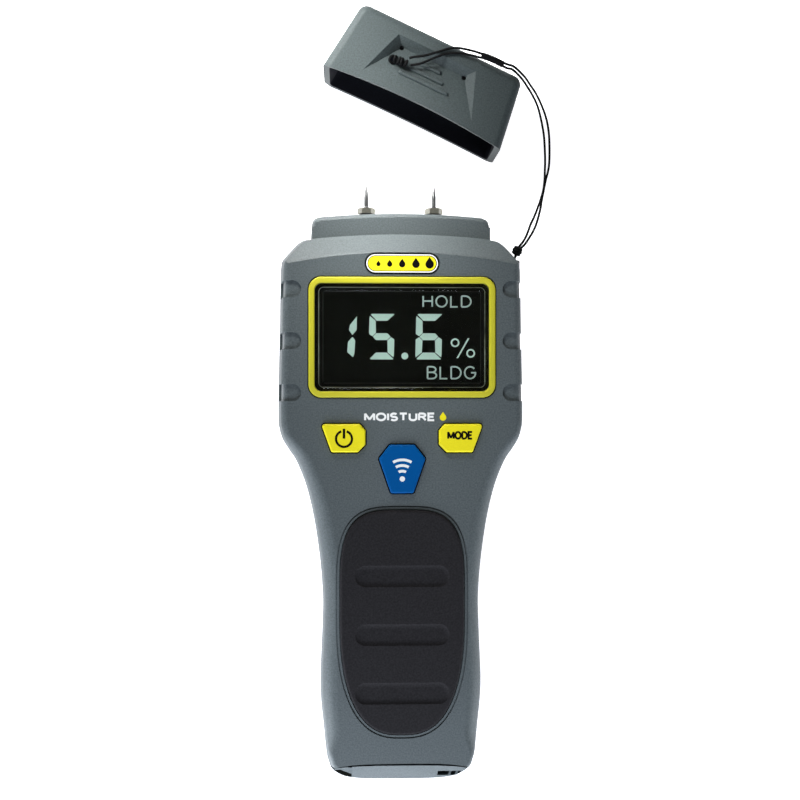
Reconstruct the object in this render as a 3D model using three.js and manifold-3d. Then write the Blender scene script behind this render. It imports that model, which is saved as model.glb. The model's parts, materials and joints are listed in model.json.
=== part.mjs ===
// A pin moisture meter: a two-part case with a sensor head, display, three keys, a battery bay,
// and a pin cap tied to the shoulder of the case by a cord.
// The meter lies on its back. +Z is the way the display faces, +Y points to the pins and +X to the
// right of the display. The origin is on the back face, on the centre line, half way along the case.

import * as THREE from "three";
import { mergeVertices } from "three/addons/utils/BufferGeometryUtils.js";
import { ConvexGeometry } from "three/addons/geometries/ConvexGeometry.js";
import Module from "manifold-3d";

const wasm = await Module();
wasm.setup();

// ---- Driving dimensions, in millimetres -------------------------------------------------------

const gap = 0.3; // air between two pieces that meet
const past = 2; // how far a cutter runs past the face it opens

const bodyLength = 188.5;
const bodyWidth = 81; // across the display
const bodyThickness = 36;
const wall = 2.2;
const edgeRound = 3;

const headWidth = 60;
const headThickness = 24;
const headHeight = 9; // from the shoulder to the top of the head
const headCorner = 1.7;
const headRound = 1.2; // on the edges of its two faces
const headDip = 1.6; // how much lower the head's corners are than its middle
const slopeDrop = 6; // how far the sloped face falls towards the head
const slopeStart = 14.6; // from the top of the head to the start of the slope

const displayWidth = 59.9; // outside of the ring
const displayHeight = 38.6;
const displayFromBadge = 1.05; // case between the badge and the ring
const ringWidth = 2.4;
const ringCorner = 4.2;
const ringProud = 0.5;
const seatDepth = 1.6; // of the recess that holds the ring and the window
const windowBelow = 0.4; // the window's face below the case's face
const windowLedge = 1.4; // the recess floor that the window rests on

const badgeWidth = 23.6;
const badgeHeight = 6.5;
const badgeFromTop = 18.65;
const badgeThickness = 0.9;

const notchCount = 3;
const notchHeight = 5.4;
const notchPitch = 16.6;
const notchFirst = 15.45; // first notch above the middle of the display
const notchLand = 2.3; // case left between a notch and the display
const notchDepth = 0.9;

const keyTravel = 0.8;
const keyProud = 1.2;
const keyAir = 0.4; // around a key in its hole
const keyFlange = 1.1;
const keyFlangeThickness = 1;
const stemRadius = 1.6;
const keysFromDisplay = 8.55; // case between the ring and the yellow keys
const sideKeyX = 18.6;
const sideKeyWidth = 13.8;
const sideKeyHeight = 9;
const sideKeyFoot = 4.4; // from the key's centre to the inner end of its lower edge
const sideKeyLean = 2.6; // how far its outer side leans in at the foot
const sideKeyCut = 2.3; // across the cut corners on its inner side
const linkKeyLower = 9.8; // its centre below the centre of the yellow keys
const linkKeyWidth = 14.9;
const linkKeyHeight = 15.5;
const linkKeyFoot = 3.9; // from its widest point in to the end of the lower edge
const linkKeyBrow = 3.6; // and to the end of the upper edge
const linkKeyRise = 4.3; // from its widest point up to the upper edge

const padWidth = 39.7;
const padFromLinkKey = 5.4; // case between the blue key and the pad
const padFromBottom = 19.1;
const padRecess = 1.1;
const padProud = 1.1;
const padUpperShare = 0.335; // of the pad's length, rounded at the upper end
const padLowerShare = 0.51; // and at the lower end
const padCorner = 4; // exponent of the pad's upper end, squarer than an ellipse
const padFoot = 2.45; // exponent of its lower end
const scoopCount = 3;
const scoopWidth = 30;
const scoopDepth = 0.7;
const scoopRadius = 9;
const scoopFirst = 0.295; // of the pad's length, from its upper end to the first scoop
const scoopPitch = 0.26; // of the pad's length, between scoops

const pinSpacing = 22.5;
const pinRadius = 0.68;
const pinReach = 9; // tip of the pin above the head
const pinTaper = 3.6;
const shankRadius = 1.15;
const nutAcross = 6; // across the corners
const nutHeight = 1.9;
const socketRadius = 3;
const socketLength = 7.5;
const carrierMargin = 4; // of the carrier beside the sockets
const carrierBack = 1.5; // from the sockets' upper ends to the carrier's
const carrierDepth = 11;

const batteryLength = 48.5;
const batteryWidth = 26.5;
const batteryDepth = 17.5;
const batterySide = 12.25; // from the battery to the outside of the waist
const gripSwell = 1; // how much further out the grip is than the waist, on each side
const terminalHeight = 2.5;
const snapThickness = 3;

const boardThickness = 1.6;
const boardBelowFace = 8; // top of the board below the front face
const boardEdge = 1.4; // between the board and the case
const switchHeight = 1.9;
const switchSize = 6;
const chipSize = 10;
const chipThickness = 1.4;
const wirelessWidth = 14;
const wirelessHeight = 10;
const wirelessThickness = 2;
const buzzerRadius = 6;
const buzzerHeight = 4;
const leadRadius = 0.7;

const screwRadius = 1.3;
const screwHead = 2.8;
const screwHeadHeight = 2.2;
const screwSink = 0.8;
const bossRadius = 3.3;
const topScrewIn = 7.5; // from the case's side
const topScrewFromTop = 21.5;
const lowScrewFromBottom = 12;

const doorEnd = 5.2; // how much of the case's length the door's end wall takes
const doorSide = 4; // case left beside the door's end wall
const doorNotch = 4.5;
const doorPlate = 2; // thickness of the sliding plate
const doorBelow = 5; // the end wall's upper edge below the front face
const doorFall = 7; // how far that edge drops towards the outside
const bayWall = 1.2;
const bayPlay = 0.5; // between the battery and the bay's walls
const plateLap = 0.9; // how far the plate reaches past the bay

const labelWidth = 40;
const labelHeight = 28;
const labelThickness = 0.4;

const anchorRadius = 1.9;
const anchorLength = 4.2;

const capAngle = -25.2; // degrees about Z
const capPlace = [13.0, 147.7];
const capHeight = 28;
const capBackWidth = 58.7;
const capMouthWidth = 64.2;
const capDepth = 24.2; // along its sides
const capMouthDip = 1.9; // how much shallower it is in the middle
const capWall = 1.7;
const capBack = 2; // back wall's outside behind the cap's reference point
const capRecess = 2.8;
const recessBack = [13.9, -2.7]; // corners of the recess at the cap's face
const recessMouth = [19.6, -18.4];
const recessLow = [11.2, -5.5]; // the deepest corner of the recess floor
const testHoleRadius = 0.75;
const testHoleY = -5.8; // in the cap's own axes
const eyeAt = [-12.5, -10.5]; // the cord's eye in the cap's own axes
const eyeRadius = 1.3;
const contactHalf = 1.6;
const contactThickness = 0.4;

const strandRadius = 0.4;
const sleeveRadius = 1.05;
const beadRadius = 1.75;
const tailRadius = 0.45;
const knotRadius = 1.4;

// ---- Places worked out from those -------------------------------------------------------------

const top = bodyLength / 2;
const bottom = -bodyLength / 2;
const front = bodyThickness;
const parting = bodyThickness / 2;
const shoulder = top - headHeight;
const roof = front - wall; // underside of the front wall
const badgeY = top - badgeFromTop;
const displayY = badgeY - badgeHeight / 2 - displayFromBadge - displayHeight / 2;
const keyRowY = displayY - displayHeight / 2 - keysFromDisplay - sideKeyHeight / 2;
const linkKeyY = keyRowY - linkKeyLower;
const padTop = linkKeyY - linkKeyHeight / 2 - padFromLinkKey;
const padBottom = bottom + padFromBottom;
const caseEnd = bottom + doorEnd; // where the case stops and the door's end wall starts
const batteryBottom = caseEnd + wall + 3 * gap;
const batteryTop = batteryBottom + batteryLength;
const snapTop = batteryTop + terminalHeight + gap + snapThickness;
const batteryFloor = doorPlate + 2 * gap;
const boardTop = front - boardBelowFace;
const boardBottom = boardTop - boardThickness;
const recessFloor = front - seatDepth;
const plateHalf = batteryWidth / 2 + bayPlay + plateLap;
const waistHalf = batteryWidth / 2 + batterySide;
const gripHalf = waistHalf + gripSwell;
const endHalf = waistHalf - gripSwell;
const doorHalf = endHalf - doorSide;
const topScrewX = bodyWidth / 2 - topScrewIn;
const lowScrewX = plateHalf + bayWall + screwHead + 2 * gap;

// ---- Materials --------------------------------------------------------------------------------

const finish = (color, roughness, metalness = 0, opacity = 1) =>
  new THREE.MeshStandardMaterial({ color, roughness, metalness, opacity, transparent: opacity < 1 });

const casePlastic = finish(0x535a5e, 0.6);
const capPlastic = finish(0x444b4e, 0.6);
const yellowPlastic = finish(0xc8be37, 0.45);
const bluePlastic = finish(0x0e5284, 0.45);
const blackRubber = finish(0x242526, 0.85);
const blackPlastic = finish(0x17181a, 0.55);
const whitePlastic = finish(0xe6e8e6, 0.5);
const clearPlastic = finish(0x9fb0ac, 0.08, 0, 0.3);
const liquidCrystal = finish(0x1c1d17, 0.3);
const boardGreen = finish(0x1d5b34, 0.5);
const steel = finish(0xb9bbb8, 0.3, 1);
const brass = finish(0xb49b63, 0.35, 1);
const batteryCan = finish(0x34383c, 0.35, 0.6);
const redLead = finish(0xa32820, 0.5);
const blackCord = finish(0x14161a, 0.8);
const silverLabel = finish(0xaeb2b2, 0.45);

// ---- Making solids ----------------------------------------------------------------------------

function solid(geometry) {
  const bare = geometry.index ? geometry.toNonIndexed() : geometry.clone();
  bare.deleteAttribute("normal");
  bare.deleteAttribute("uv");
  const merged = mergeVertices(bare, 1e-4);
  return new wasm.Manifold(
    new wasm.Mesh({
      numProp: 3,
      vertProperties: new Float32Array(merged.attributes.position.array),
      triVerts: new Uint32Array(merged.index.array),
    }),
  );
}

function geometryOf(shape) {
  const { vertProperties, numProp, numVert, triVerts } = shape.getMesh();
  const places = new Float32Array(numVert * 3);
  for (let i = 0; i < numVert; i++) {
    places.set(vertProperties.subarray(i * numProp, i * numProp + 3), i * 3);
  }
  const geometry = new THREE.BufferGeometry();
  geometry.setAttribute("position", new THREE.BufferAttribute(places, 3));
  geometry.setIndex(new THREE.BufferAttribute(new Uint32Array(triVerts), 1));
  geometry.computeVertexNormals();
  return geometry;
}

const model = new THREE.Group();

function add(name, shape, material, parent = model) {
  const mesh = new THREE.Mesh(geometryOf(shape), material);
  mesh.name = name;
  parent.add(mesh);
}

function block(x0, x1, y0, y1, z0, z1) {
  const box = new THREE.BoxGeometry(x1 - x0, y1 - y0, z1 - z0);
  return solid(box.translate((x0 + x1) / 2, (y0 + y1) / 2, (z0 + z1) / 2));
}

// A round bar between two points.
function rod(radius, from, to, sides = 20) {
  const start = new THREE.Vector3(...from);
  const along = new THREE.Vector3(...to).sub(start);
  const bar = new THREE.CylinderGeometry(radius, radius, along.length(), sides);
  bar.translate(0, along.length() / 2, 0);
  const turn = new THREE.Quaternion().setFromUnitVectors(
    new THREE.Vector3(0, 1, 0),
    along.normalize(),
  );
  return solid(bar.applyQuaternion(turn).translate(start.x, start.y, start.z));
}

// A straight-sided solid on a closed outline in the XY plane.
function prism(outline, z0, z1) {
  return loft([
    [outline, z0],
    [outline, z1],
  ]);
}

// A solid through closed anticlockwise outlines with the same number of points, one above another.
// The two ends are filled in the way that the plan outline fills.
function loft(sections, plan = sections[0][0]) {
  const places = [];
  const faces = [];
  const count = sections[0][0].length;
  sections.forEach(([outline, z]) => outline.forEach((p) => places.push(p.x, p.y, z)));
  for (let s = 0; s + 1 < sections.length; s++) {
    for (let i = 0; i < count; i++) {
      const a = s * count + i;
      const b = s * count + ((i + 1) % count);
      faces.push(a, b, b + count, a, b + count, a + count);
    }
  }
  const last = (sections.length - 1) * count;
  THREE.ShapeUtils.triangulateShape(plan, []).forEach(([a, b, c]) => {
    faces.push(a, c, b, last + a, last + b, last + c);
  });
  const geometry = new THREE.BufferGeometry();
  geometry.setAttribute("position", new THREE.Float32BufferAttribute(places, 3));
  geometry.setIndex(faces);
  return solid(geometry);
}

// The same outline moved outwards by a distance, or inwards when the distance is negative.
function grown(outline, distance) {
  return outline.map((p, i) => {
    const before = outline.at(i - 1);
    const after = outline[(i + 1) % outline.length];
    const one = new THREE.Vector2().subVectors(p, before).normalize();
    const two = new THREE.Vector2().subVectors(after, p).normalize();
    const normal = new THREE.Vector2(one.y + two.y, -one.x - two.x).normalize();
    const stretch = Math.max(0.5, normal.x * one.y - normal.y * one.x);
    return p.clone().addScaledVector(normal, distance / stretch);
  });
}

// A soft-edged solid: each section is [height, how far it is grown].
function softened(outline, sections) {
  return loft(
    sections.map(([z, distance]) => [grown(outline, distance), z]),
    outline,
  );
}

function points(...pairs) {
  return pairs.map(([x, y]) => new THREE.Vector2(x, y));
}

function roundedBox(width, height, corner, x = 0, y = 0, arcSteps = 4) {
  const outline = [];
  const turns = [
    [1, -1, -90],
    [1, 1, 0],
    [-1, 1, 90],
    [-1, -1, 180],
  ];
  turns.forEach(([right, up, startAngle]) => {
    for (let i = 0; i <= arcSteps; i++) {
      const angle = THREE.MathUtils.degToRad(startAngle + (90 * i) / arcSteps);
      outline.push(
        new THREE.Vector2(
          x + right * (width / 2 - corner) + corner * Math.cos(angle),
          y + up * (height / 2 - corner) + corner * Math.sin(angle),
        ),
      );
    }
  });
  return outline;
}

// A lead or cord along a smooth curve through its points.
function tube(route, radius, steps, sides = 8) {
  const curve = new THREE.CatmullRomCurve3(route.map((p) => new THREE.Vector3(...p)));
  const section = new THREE.Shape();
  for (let i = 0; i < sides; i++) {
    const angle = (2 * Math.PI * i) / sides;
    const spot = [radius * Math.cos(angle), radius * Math.sin(angle)];
    if (i) section.lineTo(...spot);
    else section.moveTo(...spot);
  }
  section.closePath();
  return solid(new THREE.ExtrudeGeometry(section, { extrudePath: curve, steps }));
}

// A solid turned about the Y axis direction, from [radius, y] pairs that start and end on the axis.
function turned(profile, x, z, sides = 20) {
  const outline = points(...profile);
  return solid(new THREE.LatheGeometry(outline, sides).translate(x, 0, z));
}

const mirrored = (outline) => outline.map((p) => new THREE.Vector2(-p.x, p.y)).reverse();

// ---- Case -------------------------------------------------------------------------------------

// The case's outline at the parting plane: the right side from the bottom up, then its mirror.
function caseOutline() {
  const block = bodyWidth / 2;
  const waistY = bottom + 59.5;
  const neckY = keyRowY - 17.7;
  const side = new THREE.SplineCurve(
    points(
      [endHalf, bottom + 9.5],
      [gripHalf, bottom + 33],
      [waistHalf, waistY],
      [waistHalf + 1.8, waistY + 0.55 * (neckY - waistY)],
      [waistHalf + 5.2, neckY],
      [block - 6, keyRowY - 7.7],
      [block - 1.5, keyRowY - 1],
      [block, keyRowY + 5.6],
    ),
  );
  const right = [
    ...points([endHalf - 13.2, bottom + 0.1], [endHalf - 7, bottom + 0.9]),
    ...points([endHalf - 3.7, bottom + 2.1], [endHalf - 1.7, bottom + 3.5]),
    ...side.getPoints(24),
    ...points([block - 1, top - 17], [block - 1.7, top - 15.6]),
    ...points([block - 6.5, top - 10.3], [block - 9.2, shoulder]),
  ];
  return [...right, ...mirrored(right)];
}

// The head's outline, with its top edge on a shallow arc.
function headOutline() {
  const half = headWidth / 2;
  const right = [];
  for (let i = 0; i <= 6; i++) {
    const x = (half - headCorner) * (1 - i / 6);
    right.push(new THREE.Vector2(x, top - headDip * (x / half) ** 2));
  }
  const foot = points([half, shoulder - 10], [half, top - headDip - headCorner]);
  const upper = [...foot, ...right];
  return [...upper, ...mirrored(upper).slice(1)];
}

const outline = caseOutline();
const headTop = parting + headThickness / 2;
const headBottom = parting - headThickness / 2;

// Everything inside the case's skin when it is moved inwards by a distance.
function caseBulk(inset) {
  const soft = inset ? 0.3 : 1; // the inside has tighter edges than the outside
  const body = softened(outline, [
    [inset, -2.4 * soft - inset],
    [0.8 + inset / 2, -0.9 * soft - inset],
    [edgeRound, -0.25 * soft - inset],
    [parting, -inset],
    [front - edgeRound, -0.5 * soft - inset],
    [front - 0.8 - inset / 2, -1.4 * soft - inset],
    [front - inset, -3 * soft - inset],
  ]);
  const head = softened(headOutline(), [
    [headBottom + inset, -headRound * soft - inset],
    [headBottom + headRound + inset / 2, -inset],
    [headTop - headRound - inset / 2, -inset],
    [headTop - inset, -headRound * soft - inset],
  ]);
  const rise = slopeDrop + past;
  const start = top - slopeStart - inset * 0.4;
  const slopeEnd = start + slopeDrop;
  const wedge = loftX(
    points(
      [start - past, front + past - inset],
      [slopeEnd, front - slopeDrop - inset],
      [slopeEnd + rise, front - slopeDrop - inset],
      [slopeEnd + rise, front + past],
      [start - past, front + past],
    ),
    bodyWidth,
  );
  return body.subtract(wedge).add(head);
}

// A bar along X on an outline whose points are [y, z].
function loftX(outlineYZ, width) {
  const bar = prism(outlineYZ, -width / 2, width / 2);
  const turn = new THREE.Matrix4().set(0, 0, 1, 0, 1, 0, 0, 0, 0, 1, 0, 0, 0, 0, 0, 1);
  return solid(geometryOf(bar).applyMatrix4(turn));
}

const screwPlaces = [
  [-topScrewX, top - topScrewFromTop],
  [topScrewX, top - topScrewFromTop],
  [-lowScrewX, bottom + lowScrewFromBottom],
  [lowScrewX, bottom + lowScrewFromBottom],
];

const pinPlaces = [
  ["left", -pinSpacing / 2],
  ["right", pinSpacing / 2],
];
const headFace = (x) => top - headDip * (x / (headWidth / 2)) ** 2;
const socketTop = headFace(pinSpacing / 2) - wall - gap;

const wide = bodyWidth; // half-size of cutters that span the case

function sidedKeys() {
  const w = sideKeyWidth / 2;
  const h = sideKeyHeight / 2;
  const right = points(
    [sideKeyX - sideKeyFoot, keyRowY - h],
    [sideKeyX + w - sideKeyLean, keyRowY - h],
    [sideKeyX + w, keyRowY + h - 1],
    [sideKeyX + w, keyRowY + h],
    [sideKeyX - w + sideKeyCut, keyRowY + h],
    [sideKeyX - w, keyRowY + h - sideKeyCut],
    [sideKeyX - w, keyRowY - h + sideKeyCut],
  );
  return { power_key: mirrored(right), mode_key: right };
}

const linkOutline = points(
  [linkKeyWidth / 2 - linkKeyFoot, linkKeyY - linkKeyHeight / 2],
  [linkKeyWidth / 2, linkKeyY + linkKeyHeight / 2 - linkKeyRise],
  [linkKeyWidth / 2 - linkKeyBrow, linkKeyY + linkKeyHeight / 2],
  [linkKeyBrow - linkKeyWidth / 2, linkKeyY + linkKeyHeight / 2],
  [-linkKeyWidth / 2, linkKeyY + linkKeyHeight / 2 - linkKeyRise],
  [linkKeyFoot - linkKeyWidth / 2, linkKeyY - linkKeyHeight / 2],
);
const keyOutlines = { ...sidedKeys(), link_key: linkOutline };
const keyCentres = {
  power_key: [-sideKeyX, keyRowY],
  mode_key: [sideKeyX, keyRowY],
  link_key: [0, linkKeyY],
};

// The pad: two superellipse ends on straight sides.
function padOutline() {
  const half = padWidth / 2;
  const upperReach = padUpperShare * (padTop - padBottom);
  const lowerReach = padLowerShare * (padTop - padBottom);
  const spread = (angle, exponent) => {
    const c = Math.cos(angle);
    const s = Math.sin(angle);
    return [Math.sign(c) * Math.abs(c) ** (2 / exponent), Math.abs(s) ** (2 / exponent)];
  };
  const result = [];
  const steps = 20;
  for (let i = 0; i <= steps; i++) {
    const [x, y] = spread((Math.PI * i) / steps, padCorner);
    result.push(new THREE.Vector2(half * x, padTop - upperReach + upperReach * y));
  }
  for (let i = 0; i <= steps; i++) {
    const [x, y] = spread(Math.PI + (Math.PI * i) / steps, padFoot);
    result.push(new THREE.Vector2(half * x, padBottom + lowerReach - lowerReach * y));
  }
  return result;
}
const pad = padOutline();

function notchCutter() {
  const keep = caseBulk(notchDepth);
  const inner = displayWidth / 2 + notchLand;
  let cutter;
  for (let i = 0; i < notchCount; i++) {
    for (const side of [-1, 1]) {
      const y = displayY + notchFirst - i * notchPitch;
      const length = bodyWidth / 2 - inner + past + notchHeight;
      const slot = prism(
        roundedBox(length, notchHeight, notchHeight / 2, side * (inner + length / 2), y, 3),
        parting + 4,
        front + past,
      );
      cutter = cutter ? cutter.add(slot) : slot;
    }
  }
  return cutter.subtract(keep);
}

function bosses(z0, z1) {
  return screwPlaces.map(([x, y]) => rod(bossRadius, [x, y, z0], [x, y, z1], 16));
}

const bulk = caseBulk(0);
const hollow = caseBulk(wall).subtract(
  block(-wide, wide, bottom - past, caseEnd + wall, -past, front + past),
);
const anchorY = top - 20;
const anchorX = bodyWidth / 2 - 2.4;
const anchorHole = rod(
  anchorRadius + gap,
  [anchorX, anchorY - gap, parting],
  [anchorX, anchorY + anchorLength + past + wall, parting],
  16,
);
const pinHoles = pinPlaces.map(([, x]) =>
  rod(shankRadius + gap, [x, shoulder, parting], [x, top + past, parting], 16),
);

function frontHousing() {
  let shell = bulk.intersect(block(-wide, wide, caseEnd, top + past, parting + gap / 2, front + past));
  shell = shell.subtract(hollow);
  bosses(parting + gap / 2, roof + wall / 2).forEach((boss) => (shell = shell.add(boss)));
  screwPlaces.forEach(([x, y]) => {
    const end = parting + 5;
    shell = shell.subtract(rod(screwRadius + gap, [x, y, parting - past], [x, y, end], 12));
  });
  const seat = roundedBox(displayWidth + 2 * gap, displayHeight + 2 * gap, ringCorner, 0, displayY);
  shell = shell.subtract(prism(seat, recessFloor, front + past));
  const inside = ringWidth + gap + windowLedge;
  const opening = roundedBox(displayWidth - 2 * inside, displayHeight - 2 * inside, 1.2, 0, displayY, 2);
  shell = shell.subtract(prism(opening, roof - past, front));
  const badgeSeat = badgeOutline(gap);
  shell = shell.subtract(prism(badgeSeat, front - badgeThickness, front + past));
  Object.values(keyOutlines).forEach((key) => {
    shell = shell.subtract(prism(grown(key, keyAir), roof - past, front + past));
  });
  shell = shell.subtract(prism(grown(pad, gap), front - padRecess, front + past));
  shell = shell.subtract(notchCutter()).subtract(anchorHole);
  pinHoles.forEach((hole) => (shell = shell.subtract(hole)));
  return shell;
}

function badgeOutline(extra) {
  const round = badgeHeight / 2 + extra;
  return roundedBox(badgeWidth + 2 * extra, 2 * round, round - 0.01, 0, badgeY);
}

const labelY = displayY - 12;
const labelRecess = labelThickness + gap;

function rearHousing() {
  let shell = bulk.intersect(block(-wide, wide, bottom - past, top + past, -past, parting - gap / 2));
  const endCut = doorHalf + gap;
  shell = shell.subtract(block(-endCut, endCut, bottom - past, caseEnd, -past, front));
  shell = shell.subtract(hollow);
  bosses(wall / 2, parting - gap / 2).forEach((boss) => (shell = shell.add(boss)));
  // The bay's side walls stand on the floor beside the door's plate.
  for (const side of [-1, 1]) {
    const inner = side * (plateHalf + gap);
    const outer = side * (plateHalf + gap + bayWall);
    const [x0, x1] = [inner, outer].sort((a, b) => a - b);
    shell = shell.add(block(x0, x1, caseEnd + wall / 2, snapTop + 1, wall / 2, parting - 4));
  }
  screwPlaces.forEach(([x, y]) => {
    const seat = screwSink + screwHeadHeight + gap;
    shell = shell.subtract(rod(screwHead + gap, [x, y, -past], [x, y, seat], 16));
    shell = shell.subtract(rod(screwRadius + gap, [x, y, 0], [x, y, parting + past], 12));
  });
  const doorway = plateHalf + gap;
  shell = shell.subtract(
    block(-doorway, doorway, bottom - past, snapTop + gap, -past, doorPlate + gap),
  );
  const label = roundedBox(labelWidth + 2 * gap, labelHeight + 2 * gap, 2, 0, labelY);
  shell = shell.subtract(prism(label, -past, labelRecess)).subtract(anchorHole);
  pinHoles.forEach((hole) => (shell = shell.subtract(hole)));
  return shell;
}

add("front_housing", frontHousing(), casePlastic);
add("rear_housing", rearHousing(), casePlastic);

const labelShape = roundedBox(labelWidth, labelHeight, 2, 0, labelY);
add("rear_label", prism(labelShape, labelRecess - gap / 2 - labelThickness, labelRecess - gap / 2), silverLabel);

screwPlaces.forEach(([x, y], i) => {
  const headEnd = screwSink + screwHeadHeight;
  const recess = rod(screwHead * 0.45, [x, y, screwSink - past], [x, y, screwSink + 1.2], 6);
  const screw = rod(screwHead, [x, y, screwSink], [x, y, headEnd], 16)
    .add(rod(screwRadius, [x, y, headEnd - 0.1], [x, y, parting + 4], 12))
    .subtract(recess);
  add(`case_screw_${i + 1}`, screw, steel);
});

// ---- Sensor head ------------------------------------------------------------------------------

const carrierHalf = pinSpacing / 2 + socketRadius + carrierMargin;
let carrier = block(
  -carrierHalf,
  carrierHalf,
  socketTop - socketLength - carrierBack,
  socketTop - carrierBack,
  parting - carrierDepth / 2,
  parting + carrierDepth / 2,
);
pinPlaces.forEach(([side, x]) => {
  const from = [x, socketTop - socketLength - past, parting];
  const to = [x, top, parting];
  carrier = carrier.subtract(rod(socketRadius + gap, from, to, 16));
  const bore = rod(shankRadius + gap, [x, socketTop - socketLength + 1.4, parting], to, 12);
  const bush = rod(socketRadius, [x, socketTop - socketLength, parting], [x, socketTop, parting], 16);
  add(`pin_socket_${side}`, bush.subtract(bore), brass);

  const face = headFace(pinSpacing / 2) + gap;
  const nutHole = rod(shankRadius + gap, [x, top - past, parting], [x, top + 2 * past, parting], 12);
  const nut = rod(nutAcross / 2, [x, face, parting], [x, face + nutHeight, parting], 6);
  add(`pin_nut_${side}`, nut.subtract(nutHole), brass);

  const tip = top + pinReach;
  const pin = turned(
    [
      [0, socketTop - socketLength + 1.4 + gap],
      [shankRadius, socketTop - socketLength + 1.4 + gap],
      [shankRadius, face + nutHeight],
      [pinRadius, face + nutHeight + 0.3],
      [pinRadius, tip - pinTaper],
      [pinRadius * 0.45, tip - pinTaper * 0.3],
      [0, tip],
    ],
    x,
    parting,
    12,
  );
  add(`probe_pin_${side}`, pin, steel);

  const away = Math.sign(x);
  const rear = socketTop - socketLength - gap;
  add(
    `sensor_lead_${side}`,
    tube(
      [
        [x, rear, parting],
        [x, rear - 2, parting],
        [x + away * 1.5, rear - 5, parting + 1.5],
        [x + away * 2, rear - 7.5, parting + 4.5],
        [x + away * 2, rear - 8, boardBottom - gap],
      ],
      leadRadius,
      12,
      6,
    ),
    side === "left" ? redLead : blackPlastic,
  );
});
add("pin_carrier", carrier, blackPlastic);

// ---- Display ----------------------------------------------------------------------------------

const ringOuter = roundedBox(displayWidth, displayHeight, ringCorner, 0, displayY);
const paneWidth = displayWidth - 2 * ringWidth;
const paneHeight = displayHeight - 2 * ringWidth;
const ringInner = roundedBox(paneWidth, paneHeight, ringCorner - ringWidth + 0.7, 0, displayY);
const ring = softened(ringOuter, [
  [recessFloor + gap / 2, 0],
  [front + ringProud - 0.5, 0],
  [front + ringProud, -0.5],
]).subtract(prism(ringInner, recessFloor - past, front + past));
add("display_bezel", ring, yellowPlastic);

const pane = softened(grown(ringInner, -gap), [
  [recessFloor + gap / 2, 0],
  [front - windowBelow - 0.3, 0],
  [front - windowBelow, -1],
]);
add("display_window", pane, clearPlastic);

const panelWidth = paneWidth - 2;
const panelHeight = paneHeight - 1;
const panelTop = roof - gap;
const panelThickness = 2;
const panel = roundedBox(panelWidth, panelHeight, 0.6, 0, displayY, 1);
add("lcd_panel", prism(panel, panelTop - panelThickness, panelTop), liquidCrystal);

const holderTop = panelTop - panelThickness - gap;
const holderWall = 1.6;
const holderInner = roundedBox(panelWidth - 2 * holderWall, panelHeight - 2 * holderWall, 0.6, 0, displayY, 1);
const holder = prism(panel, boardTop + gap, holderTop).subtract(
  prism(holderInner, boardTop - past, holderTop + past),
);
add("lcd_holder", holder, whitePlastic);

const innerHalfWidth = panelWidth / 2 - holderWall - gap;
const innerTop = displayY + panelHeight / 2 - holderWall - gap;
const innerBottom = displayY - panelHeight / 2 + holderWall + gap;
const zebraDepth = 2.2;
add(
  "zebra_strip",
  block(-innerHalfWidth, innerHalfWidth, innerBottom, innerBottom + zebraDepth, boardTop + gap, holderTop),
  blackRubber,
);
add(
  "lcd_backlight",
  block(
    -innerHalfWidth,
    innerHalfWidth,
    innerBottom + zebraDepth + gap,
    innerTop,
    boardTop + gap,
    holderTop,
  ),
  whitePlastic,
);

// ---- Board and what it carries ----------------------------------------------------------------

let board = caseBulk(wall + boardEdge).intersect(
  block(-wide, wide, snapTop + 2, shoulder - 5, boardBottom, boardTop),
);
screwPlaces.forEach(([x, y]) => {
  board = board.subtract(rod(bossRadius + 2 * gap, [x, y, 0], [x, y, front], 16));
});
add("circuit_board", board, boardGreen);

const switchTop = boardTop + gap + switchHeight;
Object.entries(keyCentres).forEach(([key, [x, y]]) => {
  const half = switchSize / 2;
  const base = block(x - half, x + half, y - half, y + half, boardTop + gap, switchTop - 0.4);
  const plunger = rod(1.4, [x, y, switchTop - 1], [x, y, switchTop], 12);
  add(key.replace("key", "switch"), base.add(plunger), blackPlastic);
});

const under = boardBottom - gap;

// A flat part under the board, between the board's underside and its own thickness below that.
const underBoard = (x, y, width, height, thickness) =>
  block(x - width / 2, x + width / 2, y - height / 2, y + height / 2, under - thickness, under);
const chip = underBoard(0, keyRowY + 15, chipSize, chipSize, chipThickness);
add("controller_chip", chip, blackPlastic);
const wireless = underBoard(-19, keyRowY, wirelessWidth, wirelessHeight, wirelessThickness);
add("wireless_module", wireless, silverLabel);
const buzzer = rod(buzzerRadius, [sideKeyX, displayY, under - buzzerHeight], [sideKeyX, displayY, under]);
add("buzzer", buzzer, blackPlastic);

// ---- Keys -------------------------------------------------------------------------------------

const flangeTop = roof - gap;
const stemEnd = switchTop + 0.2 + keyTravel;
Object.entries(keyOutlines).forEach(([key, keyShape]) => {
  const cap = softened(keyShape, [
    [flangeTop - keyFlangeThickness / 2, 0],
    [front + keyProud - 0.5, 0],
    [front + keyProud, -0.5],
  ]);
  const flange = prism(grown(keyShape, keyFlange), flangeTop - keyFlangeThickness, flangeTop);
  const [x, y] = keyCentres[key];
  const stem = rod(stemRadius, [x, y, stemEnd], [x, y, flangeTop], 12);
  add(key, cap.add(flange).add(stem), key === "link_key" ? bluePlastic : yellowPlastic);
});

// ---- Badge and grip pad -----------------------------------------------------------------------

const badgeBase = front - badgeThickness + gap / 2;
add("name_badge", prism(badgeOutline(0), badgeBase, badgeBase + badgeThickness), yellowPlastic);

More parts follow.
